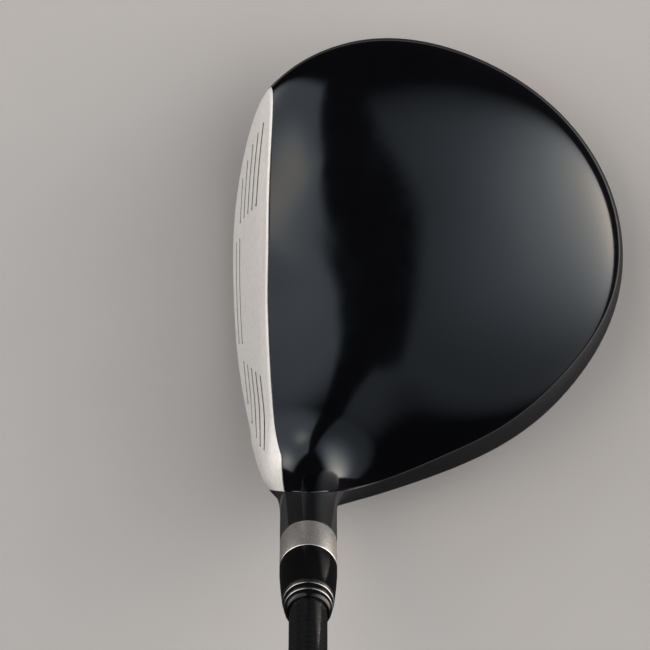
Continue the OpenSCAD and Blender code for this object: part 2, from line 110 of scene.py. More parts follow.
# Shaft axis, from the frame's own joint; s is the distance along it from the ground
_index = next(j for j in frame["joints"] if j["name"] == "sleeve_index")
AXIS_POINT = np.array(_index["pos_m"], float) / MM
AXIS = np.array(_index["axis"], float) / np.linalg.norm(_index["axis"])
AXIS_SIDE = np.array([0.0, 1.0, 0.0])
AXIS_UP = np.cross(AXIS, AXIS_SIDE)
CLUB_LENGTH = 1092.0
COLLAR_TOP = 69.6
GRIP_LOW = 825.0
CAP_LOW = 1084.0

# ---------------------------------------------------------------- fields of the head


def closed_spline(values):
    """Smooth closed curve through values at equal angles, as a function of the angle."""
    v = np.asarray(values, float)
    n = len(v)
    matrix = 4 * np.eye(n) + np.roll(np.eye(n), 1, 0) + np.roll(np.eye(n), -1, 0)
    slopes = np.linalg.solve(matrix, 3 * (np.roll(v, -1) - np.roll(v, 1)))

    def at(angle):
        u = np.mod(np.asarray(angle) / (2 * math.pi), 1.0) * n
        i = np.floor(u).astype(int) % n
        t = u - np.floor(u)
        j = (i + 1) % n
        return (v[i] * (1 + 2 * t) * (1 - t) ** 2 + slopes[i] * t * (1 - t) ** 2
                + v[j] * t * t * (3 - 2 * t) + slopes[j] * t * t * (t - 1))

    return at


outline = closed_spline(OUTLINE)
rim_height = closed_spline(RIM_HEIGHTS)
seam_inset = closed_spline(SEAM_INSETS)


def smooth_step(t):
    t = np.clip(t, 0, 1)
    return t * t * (3 - 2 * t)


def smooth_max(a, b, k):
    h = np.maximum(k - np.abs(a - b), 0) / k
    return np.maximum(a, b) + h * h * k / 4


def smooth_min(a, b, k):
    return -smooth_max(-a, -b, k)


def head_field(x, y, z):
    """Signed distance, near the skin, of the head without its face and neck."""
    r = np.hypot(x, y)
    angle = np.arctan2(y, x)
    edge = outline(angle)
    w = smooth_step(r / edge / CORE_RATIO)
    side = CORE_SIDE + (edge - CORE_SIDE) * w
    rim = CORE_RIM + (rim_height(angle) - CORE_RIM) * w
    t = r / side
    rise = HEAD_HEIGHT - rim
    u = np.maximum(z - rim, 0) / rise
    up = u ** CROWN_ROOT + t * t - 1
    up_slope = np.hypot(2 * t / side, CROWN_ROOT * u ** (CROWN_ROOT - 1) / rise)
    d = np.maximum(rim - z, 0) / rim
    q = np.maximum(t - PATCH_RATIO, 0) / (1 - PATCH_RATIO)
    down = d ** SOLE_ROOT + q ** SOLE_POWER - 1
    down_slope = np.hypot(SOLE_POWER * q ** (SOLE_POWER - 1) / side / (1 - PATCH_RATIO),
                          SOLE_ROOT * d ** (SOLE_ROOT - 1) / rim)
    return np.where(z >= rim, up / np.maximum(up_slope, 1e-3), down / np.maximum(down_slope, 1e-3))


# The face is part of a sphere, tilted by the loft and turned by the face angle
FACE_NORMAL = np.array([math.sin(FACE_ANGLE) * math.cos(LOFT),
                        -math.cos(FACE_ANGLE) * math.cos(LOFT), math.sin(LOFT)])
FACE_CENTRE = FACE_POINT - FACE_RADIUS * FACE_NORMAL


def face_field(x, y, z):
    return np.sqrt((x - FACE_CENTRE[0]) ** 2 + (y - FACE_CENTRE[1]) ** 2
                   + (z - FACE_CENTRE[2]) ** 2) - FACE_RADIUS


def face_edge(x, y, z):
    """The face's field, held upright above the topline at the heel, where the neck rises past it."""
    ceiling = EDGE_TOP - EDGE_FALL * smooth_step((x - EDGE_FALL_FROM) / (CROWN_END - EDGE_FALL_FROM))
    return face_field(x, y, np.minimum(z, ceiling))


def neck_field(x, y, z):
    dx, dy = x - AXIS_POINT[0], y - AXIS_POINT[1]
    s = dx * AXIS[0] + z * AXIS[2]
    d = np.sqrt(np.maximum(dx * dx + dy * dy + z * z - s * s, 1e-9))
    return np.maximum(d - NECK_RADIUS, NECK_ROOT - s)


def uncut(x, y, z):
    return smooth_min(head_field(x, y, z), neck_field(x, y, z), NECK_BLEND)


def skin(x, y, z):
    head = smooth_max(head_field(x, y, z), face_field(x, y, z), FACE_EDGE)
    return smooth_min(head, neck_field(x, y, z), NECK_BLEND)


def skin_normal(points):
    h = 0.01
    x, y, z = np.asarray(points).T
    g = np.stack([skin(x + h, y, z) - skin(x - h, y, z), skin(x, y + h, z) - skin(x, y - h, z),
                  skin(x, y, z + h) - skin(x, y, z - h)], -1)
    return g / np.maximum(np.linalg.norm(g, axis=1, keepdims=True), 1e-12)


def first_root(field, origin, direction, near, far, steps, halvings=40):
    """Distance along each ray, from near to far, to the first sign change of field."""
    origin, direction = (np.array(a, float) for a in np.broadcast_arrays(origin, direction))
    marks = np.linspace(near, far, steps)
    p = origin[None] + marks[:, None, None] * direction[None]
    negative = field(p[..., 0], p[..., 1], p[..., 2]) < 0
    step = (negative[1:] != negative[:-1]).argmax(axis=0)
    low, high = marks[step], marks[step + 1]
    side = negative[step, np.arange(len(step))]
    for _ in range(halvings):
        middle = (low + high) / 2
        p = origin + middle[:, None] * direction
        same = (field(p[:, 0], p[:, 1], p[:, 2]) < 0) == side
        low, high = np.where(same, middle, low), np.where(same, high, middle)
    return (low + high) / 2


CEILING = 70.0


def top_z(x, y, field=skin, halvings=40):
    x, y = np.broadcast_arrays(np.asarray(x, float), np.asarray(y, float))
    origin = np.stack([x.ravel(), y.ravel(), np.full(x.size, CEILING)], -1)
    t = first_root(field, origin, [0, 0, -1], 0, CEILING, 141, halvings)
    return (CEILING - t).reshape(x.shape)


CORE = np.array([0.0, 0.0, CORE_RIM])
CORE_NEAR, CORE_FAR, CORE_MARKS = 5, 90, 86


def from_core(angle, tilt, field=skin, halvings=40):
    """Points of the skin seen from the head's core, at a plan angle and a tilt above the horizon."""
    angle, tilt = np.broadcast_arrays(np.asarray(angle, float), np.asarray(tilt, float))
    a, b = angle.ravel(), tilt.ravel()
    direction = np.stack([np.cos(b) * np.cos(a), np.cos(b) * np.sin(a), np.sin(b)], -1)
    t = first_root(field, CORE, direction, CORE_NEAR, CORE_FAR, CORE_MARKS, halvings)
    return (CORE + t[:, None] * direction).reshape(angle.shape + (3,))


def halve(test, low, high, rounds=32):
    """Where test turns from false to true between low and high, for arrays of both."""
    low, high = np.array(low, float), np.array(high, float)
    for _ in range(rounds):
        middle = (low + high) / 2
        past = test(middle)
        low, high = np.where(past, low, middle), np.where(past, middle, high)
    return (low + high) / 2


# ---------------------------------------------------------------- edges that the head's pieces share


def past_face(x, y):
    return face_edge(x, y, top_z(x, y, uncut, 26)) > -EDGE_IN


def seam_radius(angle):
    """Radius of the crown's seam in plan, cut off straight where the neck begins."""
    return np.minimum(outline(angle) - seam_inset(angle), CROWN_END / np.maximum(np.cos(angle), 0.2))


def past_toe(angle):
    """Whether the seam at this angle has run into the face."""
    radius = seam_radius(angle)
    return past_face(radius * np.cos(angle), radius * np.sin(angle))


TOE_AT = float(halve(past_toe, [math.radians(190)], [math.radians(240)])[0])
TOE_X = float(seam_radius(TOE_AT)) * math.cos(TOE_AT)
BACK_COLUMNS, FACE_COLUMNS, NECK_COLUMNS, HEEL_COLUMNS = 200, 150, 40, 16
crown_x = np.linspace(TOE_X, CROWN_END, FACE_COLUMNS)
crown_y = halve(lambda y: past_face(crown_x, y), np.full(FACE_COLUMNS, -15.0),
                np.full(FACE_COLUMNS, -40.0))
CORNER_Y = float(crown_y[-1])
FRONT_AT = math.atan2(CORNER_Y, CROWN_END)
BACK_AT = float(halve(lambda a: outline(a) - seam_inset(a) < CROWN_END / np.cos(a), [-0.28], [0.2])[0])

back_angles = np.linspace(BACK_AT, TOE_AT, BACK_COLUMNS)
neck_angles = np.arctan2(np.linspace(CORNER_Y, CROWN_END * math.tan(BACK_AT), NECK_COLUMNS), CROWN_END)


def sole_edge(angles):
    """Tilt, seen from the core, at which the sole runs up into the face."""
    tilts = np.radians(np.linspace(-89, 60, 150))
    grid = from_core(angles[None, :], tilts[:, None], uncut, 20)
    beyond = face_field(grid[..., 0], grid[..., 1], grid[..., 2]) > -EDGE_IN
    first = np.maximum(beyond.argmax(axis=0), 1)

    def past(tilt):
        p = from_core(angles, tilt, uncut, 30)
        return face_field(p[:, 0], p[:, 1], p[:, 2]) > -EDGE_IN

    return halve(past, tilts[first - 1], tilts[first], 26)


_trial = np.linspace(TOE_AT + 1e-4, FRONT_AT + 2 * math.pi, 60)
_trial_x = from_core(_trial, sole_edge(_trial))[:, 0]
LEADING_END = float(np.interp(CROWN_END, _trial_x[20:], _trial[20:]))
leading_angles = np.linspace(TOE_AT, LEADING_END, FACE_COLUMNS)
leading_tilts = sole_edge(leading_angles)
leading_points = from_core(leading_angles, leading_tilts)

crown_front = np.column_stack([crown_x, crown_y, top_z(crown_x, crown_y)])
seam_points = np.stack([seam_radius(back_angles) * np.cos(back_angles),
                        seam_radius(back_angles) * np.sin(back_angles)], -1)
seam_points = np.column_stack([seam_points, top_z(seam_points[:, 0], seam_points[:, 1])])
_heel_y = np.linspace(leading_points[-1, 1], CORNER_Y, HEEL_COLUMNS)
heel_points = np.column_stack([np.full(HEEL_COLUMNS, CROWN_END), _heel_y, top_z(CROWN_END, _heel_y)])


def outward(turn):
    """Directions across the shaft axis at turns from its upper side towards +Y."""
    return np.cos(turn)[..., None] * AXIS_UP + np.sin(turn)[..., None] * AXIS_SIDE


def neck_point(turn, s):
    """Point of the neck's skin at a turn and a place on the axis."""
    turn, s = np.broadcast_arrays(np.asarray(turn, float), np.asarray(s, float))
    direction = outward(turn.ravel())
    origin = AXIS_POINT + s.ravel()[:, None] * AXIS
    t = first_root(skin, origin, direction, 1.0, 16.0, 61)
    return (origin + t[:, None] * direction).reshape(turn.shape + (3,))


def turn_and_place(point):
    d = point - AXIS_POINT
    return math.atan2(d @ AXIS_SIDE, d @ AXIS_UP), float(d @ AXIS)


front_turn, front_s = turn_and_place(crown_front[-1])
back_turn, back_s = turn_and_place(seam_points[0])
upper_turns = np.linspace(front_turn, back_turn, NECK_COLUMNS)
upper_s = halve(lambda s: neck_point(upper_turns, s)[:, 0] > CROWN_END,
                np.full(NECK_COLUMNS, 30.0), np.full(NECK_COLUMNS, 55.0))
upper_s[0], upper_s[-1] = front_s, back_s
lower_turns = np.linspace(back_turn, front_turn + 2 * math.pi, NECK_COLUMNS)
LOWER_RISE = 3.0  # how far the neck's lower edge bows up the axis
_along = np.linspace(0, 1, NECK_COLUMNS)
lower_s = back_s + (front_s - back_s) * _along + LOWER_RISE * np.sin(math.pi * _along)
lower_points = neck_point(lower_turns, lower_s)

# ---------------------------------------------------------------- mesh helpers


def add_object(name, mesh):
    obj = bpy.data.objects.new(name, mesh)
    bpy.context.scene.collection.objects.link(obj)
    return obj


def mesh_object(name, points, faces):
    mesh = bpy.data.meshes.new(name)
    mesh.from_pydata((np.asarray(points, float) * MM).tolist(), [], faces)
    mesh.validate()
    mesh.update()
    return add_object(name, mesh)


def grid_faces(rows, columns, closed=False, looped=False):
    """Quads of a grid of points. Closed joins the last column to the first, looped the last row."""
    count = columns if closed else columns - 1
    faces = [(r * columns + c, r * columns + (c + 1) % columns,
              (r + 1) * columns + (c + 1) % columns, (r + 1) * columns + c)
             for r in range(rows - 1) for c in range(count)]
    if looped:
        last = (rows - 1) * columns
        faces += [(last + c, last + (c + 1) % columns, (c + 1) % columns, c) for c in range(columns)]
    return faces


def vertices(obj):
    """The mesh's vertices in millimetres."""
    flat = np.zeros(len(obj.data.vertices) * 3)
    obj.data.vertices.foreach_get("co", flat)
    return flat.reshape(-1, 3) / MM


def freeze(obj):
    """Applies the object's modifiers."""
    dg = bpy.context.evaluated_depsgraph_get()
    dg.update()
    mesh = bpy.data.meshes.new_from_object(obj.evaluated_get(dg))
    obj.modifiers.clear()
    old = obj.data
    obj.data = mesh
    mesh.name = obj.name
    bpy.data.meshes.remove(old)
    return obj


def weld(obj, distance=0.002):
    modifier = obj.modifiers.new("weld", "WELD")
    modifier.merge_threshold = distance * MM
    return freeze(obj)


def solidify(obj, wall):
    modifier = obj.modifiers.new("wall", "SOLIDIFY")
    modifier.thickness = wall * MM
    modifier.offset = -1
    modifier.use_rim = True
    return freeze(obj)


def boolean(obj, other, operation="DIFFERENCE"):
    modifier = obj.modifiers.new("cut", "BOOLEAN")
    modifier.operation = operation
    modifier.object = other
    modifier.solver = "MANIFOLD"
    freeze(obj)
    if not obj.data.vertices:
        raise RuntimeError("nothing left of " + obj.name)
    bpy.data.objects.remove(other)
    return obj


def face_outwards(obj):
    bm = bmesh.new()
    bm.from_mesh(obj.data)
    bmesh.ops.recalc_face_normals(bm, faces=bm.faces)
    bm.to_mesh(obj.data)
    bm.free()
    return obj


def smooth(obj, angle=35):
    obj.data.polygons.foreach_set("use_smooth", [True] * len(obj.data.polygons))
    obj.data.set_sharp_from_angle(angle=math.radians(angle))
    return obj


def skin_shading(obj):
    """Gives the corners that lie on the head's skin the skin's own normal."""
    mesh = obj.data
    points = vertices(obj)
    on_skin = np.abs(skin(points[:, 0], points[:, 1], points[:, 2])) < 0.004
    normals = skin_normal(points)
    mesh.polygons.foreach_set("use_smooth", [True] * len(mesh.polygons))
    corner_vertex = np.zeros(len(mesh.loops), int)
    mesh.loops.foreach_get("vertex_index", corner_vertex)
    starts = np.zeros(len(mesh.polygons), int)
    counts = np.zeros(len(mesh.polygons), int)
    flat = np.zeros(len(mesh.polygons) * 3)
    mesh.polygons.foreach_get("loop_start", starts)
    mesh.polygons.foreach_get("loop_total", counts)
    mesh.polygons.foreach_get("normal", flat)
    face_of = np.repeat(np.arange(len(starts)), counts)
    corner = flat.reshape(-1, 3)[face_of]
    wanted = normals[corner_vertex]
    use = on_skin[corner_vertex] & ((corner * wanted).sum(1) > 0.85)
    result = np.where(use[:, None], wanted, corner)
    mesh.normals_split_custom_set(result.tolist())
    return obj


def place_on_axis(radius, s, turn):
    radius, s = np.asarray(radius, float)[..., None], np.asarray(s, float)[..., None]
    return AXIS_POINT + s * AXIS + radius * outward(turn)


def rounded(profile, radius=0.15, steps=3):
    """Closed profile of (radius, height) points with its corners rounded."""
    points = [np.array(p, float) for p in profile]
    result = []
    for k, p in enumerate(points):
        if p[0] == 0:
            result.append(p)
            continue
        a, b = points[k - 1] - p, points[(k + 1) % len(points)] - p
        la, lb = np.linalg.norm(a), np.linalg.norm(b)
        cut = min(radius, la * 0.4, lb * 0.4)
        straight = abs(a[0] * b[1] - a[1] * b[0]) < 0.12 * la * lb
        if straight or cut < 1e-4:
            result.append(p)
            continue
        start, end = p + a / la * cut, p + b / lb * cut
        for j in range(steps + 1):
            t = j / steps
            result.append(start * (1 - t) ** 2 + 2 * p * t * (1 - t) + end * t * t)
    return result


def turned(name, profile, segments=96, to_frame=None, bevel=0.15):
    """Solid of revolution from a closed profile of (radius, height), on the shaft axis or as to_frame says.

    A profile that starts on the axis also ends on it."""
    to_frame = to_frame or place_on_axis
    profile = np.array(rounded(profile, bevel))
    turn = np.linspace(0, 2 * math.pi, segments, endpoint=False)
    rows = len(profile)
    radii, heights = (np.repeat(profile[:, k], segments) for k in (0, 1))
    points = to_frame(radii, heights, np.tile(turn, rows))
    faces = grid_faces(rows, segments, True, profile[0][0] > 0)
    obj = mesh_object(name, points, faces)
    return smooth(face_outwards(weld(obj, 0.0005)))


def box_on_axis(name, r_low, r_high, half_width, s_low, s_high, turn):
    """Box that runs outwards across the shaft axis, for lugs and their slots."""
    corners = []
    side = np.cos(turn) * AXIS_SIDE - np.sin(turn) * AXIS_UP
    out = outward(np.array(turn))
    for s in (s_low, s_high):
        for r, w in ((r_low, -1), (r_high, -1), (r_high, 1), (r_low, 1)):
            corners.append(AXIS_POINT + s * AXIS + r * out + w * half_width * side)
    faces = [(0, 1, 2, 3), (7, 6, 5, 4), (0, 4, 5, 1), (1, 5, 6, 2), (2, 6, 7, 3), (3, 7, 4, 0)]
    return face_outwards(mesh_object(name, corners, faces))


def upright(x, y, z):
    """Placement for parts turned about a vertical axis."""

    def place(radius, height, turn):
        return np.stack([x + radius * np.cos(turn), y + radius * np.sin(turn), z + height], -1)

    return place


def prism(name, radius, low, high, sides, to_frame, lobes=0.0):
    """Prism with sides corners, or with rounded lobes, for sockets."""
    count = sides if lobes == 0 else sides * 8
    turn = np.linspace(0, 2 * math.pi, count, endpoint=False)
    radii = radius * (1 + lobes * np.cos(sides * turn)) if lobes else np.full(count, radius)
    points = np.concatenate([to_frame(radii, np.full(count, height), turn) for height in (low, high)])
    faces = grid_faces(2, count, True)
    faces += [tuple(range(count)), tuple(range(2 * count - 1, count - 1, -1))]
    return face_outwards(mesh_object(name, points, faces))


# ---------------------------------------------------------------- crown

RINGS = 76
# The seam's rolled edge: how far in from it, and how deep below the skin
ROLL = [(0.34, 0.0), (0.16, 0.02), (0.06, 0.08), (0.0, 0.2)]


def crown_piece():
    front = crown_front[:-1]
    angles = np.concatenate([neck_angles[:-1], back_angles[:-1], np.arctan2(front[:, 1], front[:, 0])])
    radii = np.concatenate([CROWN_END / np.cos(neck_angles[:-1]), seam_radius(back_angles[:-1]),
                            np.hypot(front[:, 0], front[:, 1])])
    radii = radii - SEAM_GAP / 2
    columns = len(angles)
    share = np.sin(np.linspace(0, math.pi / 2, RINGS))[1:-1]
    grid = np.concatenate([share[:, None] * (radii - ROLL[0][0]), [radii - r[0] for r in ROLL]])
    x, y = grid * np.cos(angles), grid * np.sin(angles)
    z = top_z(x, y)
    points = np.stack([x, y, z], -1)
    for k, (_, drop) in enumerate(ROLL):
        row = len(grid) - len(ROLL) + k
        points[row] -= drop * skin_normal(points[row])
    rows = len(grid)
    flat = np.concatenate([points.reshape(-1, 3), [[0, 0, HEAD_HEIGHT]]])
    faces = grid_faces(rows, columns, True)
    tip = rows * columns
    faces += [(tip, (c + 1) % columns, c) for c in range(columns)]
    obj = face_outwards(mesh_object("crown_shell", flat, faces))
    return skin_shading(solidify(obj, CROWN_WALL))


# ---------------------------------------------------------------- body

BODY_ROWS = 84
WEIGHT_AT = (-4.0, 30.0)
PORT_RADIUS = 11.0


def tuck_in(obj):
    """Brings back the vertices that the wall's offset pushed out of the skin where it folds tightly."""
    points = vertices(obj)
    for _ in range(4):
        beyond = np.maximum(skin(*points.T) + 0.01, 0)
        points -= np.where(beyond > 0.02, beyond, 0)[:, None] * skin_normal(points)
    obj.data.vertices.foreach_set("co", (points * MM).ravel())
    return obj


def body_piece():
    edge = np.concatenate([seam_points[:-1], leading_points[:-1], heel_points[:-1],
                           lower_points[::-1][:-1]])
    angles = np.maximum.accumulate(np.unwrap(np.arctan2(edge[:, 1], edge[:, 0])))
    angles = angles + np.arange(len(angles)) * 1e-6
    radii = np.hypot(edge[:, 0], edge[:, 1])
    tilts = np.arctan2(edge[:, 2] - CORE[2], radii)
    distance = np.hypot(radii, edge[:, 2] - CORE[2])
    tilts = tilts - SEAM_GAP / 2 / distance
    columns = len(angles)
    down = -math.pi / 2
    share = np.linspace(0, 1, BODY_ROWS)[:-1]
    share = share * (0.75 + 0.25 * share)
    start = tilts - ROLL[0][0] / distance
    grid = np.vstack([tilts, tilts - 0.06 / distance, tilts - 0.16 / distance,
                      start + (down - start) * share[:, None]])
    drops = [0.2, 0.08, 0.02]
    points = from_core(np.broadcast_to(angles, grid.shape), grid)
    for k, drop in enumerate(drops):
        points[k] -= drop * skin_normal(points[k])
    rows = len(grid)
    flat = np.concatenate([points.reshape(-1, 3), [[0, 0, 0]]])
    faces = grid_faces(rows, columns, True)
    tip, last = rows * columns, (rows - 1) * columns
    faces += [(tip, last + c, last + (c + 1) % columns) for c in range(columns)]
    obj = face_outwards(mesh_object("body_shell", flat, faces))
    tuck_in(solidify(obj, BODY_WALL))
    boolean(obj, prism("port_cut", PORT_RADIUS + 0.04, -2, 8, 96, upright(*WEIGHT_AT, 0)))
    boolean(obj, prism("hosel_cut", TUBE_RADIUS + PLAY, -12, 16, 96, place_on_axis))
    return skin_shading(obj)


# ---------------------------------------------------------------- face


def face_piece():
    split = int(leading_points[:20, 0].argmin())
    lower = leading_points[split:]
    upper = np.concatenate([leading_points[:split + 1][::-1], crown_front])
    columns = 232
    x = np.linspace(lower[0, 0] + 0.01, CROWN_END - 0.02, columns)
    low = np.interp(x, lower[:, 0], lower[:, 2])
    high = np.interp(x, np.maximum.accumulate(upper[:, 0]), upper[:, 2])
    levels = SCORE_TOP - SCORE_PITCH * np.arange(6)
    offsets = SCORE_HALF * np.array([-1.1, -1.0, -0.45, 0.45, 1.0, 1.1])
    fill = np.arange(4.0, 39.0, 0.6)
    fill = fill[np.abs(fill[:, None] - levels[None]).min(1) > SCORE_HALF + 0.15]
    heights = np.sort(np.concatenate([fill, (levels[:, None] + offsets[None]).ravel()]))
    margin = np.minimum(0.7, (high - low) / 4)
    gap = np.minimum(SEAM_GAP / 2, (high - low) / 8)
    low, high = low + gap, high - gap
    rows = [low + f * margin for f in (0, 0.08, 0.25, 0.5)]
    rows += [np.clip(h, low + margin, high - margin) for h in heights]
    rows += [high - f * margin for f in (0.5, 0.25, 0.08, 0)]
    z = np.array(rows)
    xx = np.broadcast_to(x, z.shape)
    origin = np.stack([xx.ravel(), np.full(z.size, -60.0), z.ravel()], -1)
    t = first_root(skin, origin, [0, 1, 0], 0, 50, 101)
    points = origin + t[:, None] * np.array([0, 1, 0])
    depth = np.zeros(z.shape)
    spans = [(k, *ends) for lines in (SCORE_TOE, SCORE_HEEL) for k, ends in enumerate(lines)]
    for k, a, b in spans + SCORE_MIDDLE:
        wall = smooth_step((SCORE_HALF * 1.05 - np.abs(z - levels[k])) / (SCORE_HALF * 0.5))
        depth = np.maximum(depth, wall * smooth_step((xx - a) / SCORE_RUN_OUT)
                           * smooth_step((b - xx) / SCORE_RUN_OUT))
    inward = FACE_CENTRE - points
    inward /= np.linalg.norm(inward, axis=1, keepdims=True)
    points = points + inward * (SCORE_DEPTH * depth.ravel()[:, None])
    obj = mesh_object("face_insert", points, grid_faces(len(rows), columns))
    face_outwards(weld(obj, 0.004))
    if sum(p.normal.y for p in obj.data.polygons) > 0:
        obj.data.flip_normals()
    solidify(obj, FACE_WALL)
    return smooth(obj, 40)


# ---------------------------------------------------------------- neck, with the tube inside it


SHANK_BORE = 2.85
lug_turns = [k * 2 * math.pi / LUG_COUNT for k in range(LUG_COUNT)]


def sole_end(radius, turn):
    """Place on the axis at which a line along the tube comes out of the sole."""
    origin = AXIS_POINT + SHELF_LOW * AXIS + radius * outward(turn)
    return SHELF_LOW - first_root(head_field, origin, -AXIS, 0, 40, 81)


def neck_piece():
    turn = np.concatenate([upper_turns[:-1], lower_turns[:-1]])
    base = np.concatenate([upper_s[:-1], lower_s[:-1]])
    base = base + SEAM_GAP / 2
    columns = len(turn)
    full = np.full(columns, 1.0)
    share = np.linspace(0, 1, 30)[:, None]
    s = base + (NECK_TOP - 0.25 - base) * share
    outer = neck_point(np.broadcast_to(turn, s.shape), s)
    edge = neck_point(turn, base) - 0.2 * skin_normal(neck_point(turn, base))
    recess = NECK_TOP - SPIGOT_LENGTH - 0.1
    inside = [
        (NECK_RADIUS - 0.07, NECK_TOP - 0.07), (NECK_RADIUS - 0.25, NECK_TOP),
        (SPIGOT_BORE + 0.12, NECK_TOP), (SPIGOT_BORE, NECK_TOP - 0.12), (SPIGOT_BORE, recess),
        (TUBE_BORE, recess), (TUBE_BORE, SHELF_HIGH), (SHANK_BORE, SHELF_HIGH),
        (SHANK_BORE, SHELF_LOW), (SCREW_PORT, SHELF_LOW)]
    rows = [edge] + list(outer) + [place_on_axis(r * full, h * full, turn) for r, h in inside]
    rows += [place_on_axis(r * full, sole_end(r, turn), turn) for r in (SCREW_PORT, TUBE_RADIUS)]
    rows.append(place_on_axis(TUBE_RADIUS * full, base - 1.0, turn))
    faces = grid_faces(len(rows), columns, True, True)
    obj = face_outwards(mesh_object("neck_tube", np.concatenate(rows), faces))
    for turn in lug_turns:
        boolean(obj, box_on_axis("lug_slot", 3.0, TUBE_RADIUS + 0.05, 1.05, recess, NECK_TOP + 1, turn))
    return skin_shading(obj)


crown = crown_piece()
body = body_piece()
face = face_piece()
neck = neck_piece()

# ---------------------------------------------------------------- hosel stack

SCREW_PITCH = 0.8
THREAD_DEPTH = 0.22


def thread(name, radius, low, high, to_frame, handed=1, segments=40):
    """Helical thread cut into a shank, closed at both ends."""
    rows = int((high - low) / (SCREW_PITCH / 6)) + 2
    turn = np.linspace(0, 2 * math.pi, segments, endpoint=False)
    s = np.linspace(low, high, rows)
    ss, tt = np.meshgrid(s, turn, indexing="ij")
    phase = np.mod(ss / SCREW_PITCH - handed * tt / (2 * math.pi), 1.0)
    ends = smooth_step((ss - low) / SCREW_PITCH) * smooth_step((high - ss) / (2 * SCREW_PITCH))
    taper = 0.35 * smooth_step((ss - high + 0.5) / 0.5)
    radii = radius - THREAD_DEPTH * (1 - np.abs(2 * phase - 1)) * ends - taper
    points = to_frame(radii.ravel(), ss.ravel(), tt.ravel())
    faces = grid_faces(rows, segments, True)
    faces += [tuple(range(segments)), tuple(range(rows * segments - 1, (rows - 1) * segments - 1, -1))]
    return smooth(face_outwards(mesh_object(name, points, faces)), 50)


def cap_screw(name, head_radius, foot, head_high, tip, socket_deep, to_frame):
    """Screw with a domed socket head and a threaded shank, which is a second mesh on the head."""
    neck = foot + head_high
    profile = [(0, foot), (head_radius, foot), (head_radius, neck), (SCREW_RADIUS, neck),
               (SCREW_RADIUS, neck + 1.0), (0, neck + 1.0)]
    head = turned(name, profile, to_frame=to_frame, bevel=0.35)
    boolean(head, prism("socket", 1.95, foot - 1, foot + socket_deep, 6, to_frame, lobes=0.1))
    smooth(head)
    shank = thread(name + "_thread", SCREW_RADIUS, neck + 0.9, tip, to_frame)
    shank.parent = head
    return head, shank


spigot_low = NECK_TOP - SPIGOT_LENGTH
band = [(SPIGOT_RADIUS, NECK_TOP + PLAY), (NECK_RADIUS, NECK_TOP + PLAY), (NECK_RADIUS, COLLAR_TOP - PLAY)]
collar = turned("indexing_collar", [(TUBE_BORE, spigot_low), (SPIGOT_RADIUS, spigot_low), *band,
                                    (TUBE_BORE, COLLAR_TOP - PLAY)], bevel=0.22, segments=128)
for turn in lug_turns:
    boolean(collar, box_on_axis("lug", 5.2, TUBE_RADIUS, 1.0, spigot_low, NECK_TOP + 0.5, turn), "UNION")
smooth(collar)

flange_top = COLLAR_TOP + FLANGE_HEIGHT
sleeve = turned("tip_sleeve", [
    (2.5, SLEEVE_LOW), (SLEEVE_RADIUS, SLEEVE_LOW), (SLEEVE_RADIUS, COLLAR_TOP), (FLANGE_RADIUS, COLLAR_TOP),
    (FLANGE_RADIUS, flange_top), (TIP_BORE, flange_top), (TIP_BORE, SOCKET_LOW), (2.5, SOCKET_LOW)],
    bevel=0.25)

RING_SPANS = [(12.2, 13.3), (14.6, 15.2)]
RING_DEPTH = 0.6


def ferrule_radius(h):
    return float(np.interp(h, [0, 3, 12, 16.3, 17], [NECK_RADIUS, NECK_RADIUS, 5.83, 5.15, 4.75]))


def ferrule_piece():
    """Black ferrule over the sleeve's flange: slightly barrelled, with a groove for each trim ring."""
    foot = FLANGE_RADIUS + PLAY
    profile = [(foot, 0), (NECK_RADIUS, 0)]
    profile += [(ferrule_radius(h) + 0.06 * math.sin(math.pi * (h - 3) / 9), h)
                for h in np.linspace(3, 11.4, 9)]
    for low, high in RING_SPANS:
        floor = ferrule_radius(low) - RING_DEPTH
        profile += [(ferrule_radius(low), low), (floor, low), (floor, high), (ferrule_radius(high), high)]
    profile += [(5.15, 16.3), (4.75, 17), (TIP_BORE, 17), (TIP_BORE, FLANGE_HEIGHT + PLAY),
                (foot, FLANGE_HEIGHT + PLAY)]
    return turned("shaft_ferrule", [(r, COLLAR_TOP + h) for r, h in profile], bevel=0.1, segments=128)


def trim_ring(name, span):
    r_low, r_high = (ferrule_radius(h) for h in span)
    floor, low, high = r_low - RING_DEPTH + PLAY / 2, span[0] + PLAY / 2, span[1] - PLAY / 2
    profile = [(floor, low), (r_low + 0.04, low), (r_high + 0.06, high), (floor, high)]
    return turned(name, [(r, COLLAR_TOP + h) for r, h in profile], bevel=0.2, segments=128)


def washer_piece(name, radius, low, high, bevel):
    """Flat ring round the hosel screw's shank."""
    inner = SCREW_RADIUS + PLAY
    return turned(name, [(inner, low), (radius, low), (radius, high), (inner, high)], bevel=bevel)


ferrule = ferrule_piece()
ring_low = trim_ring("trim_ring_wide", RING_SPANS[0])
ring_high = trim_ring("trim_ring_narrow", RING_SPANS[1])
washer = washer_piece("seat_washer", 4.2, SHELF_LOW - 1, SHELF_LOW - PLAY, 0.15)
retainer = washer_piece("screw_keeper", 4.6, SHELF_HIGH + PLAY, SHELF_HIGH + 1, 0.2)
hosel_screw, hosel_thread = cap_screw("hosel_bolt_head", 4.2, 14.5, 4.47, 35.97, 2.9, place_on_axis)

# ---------------------------------------------------------------- sole

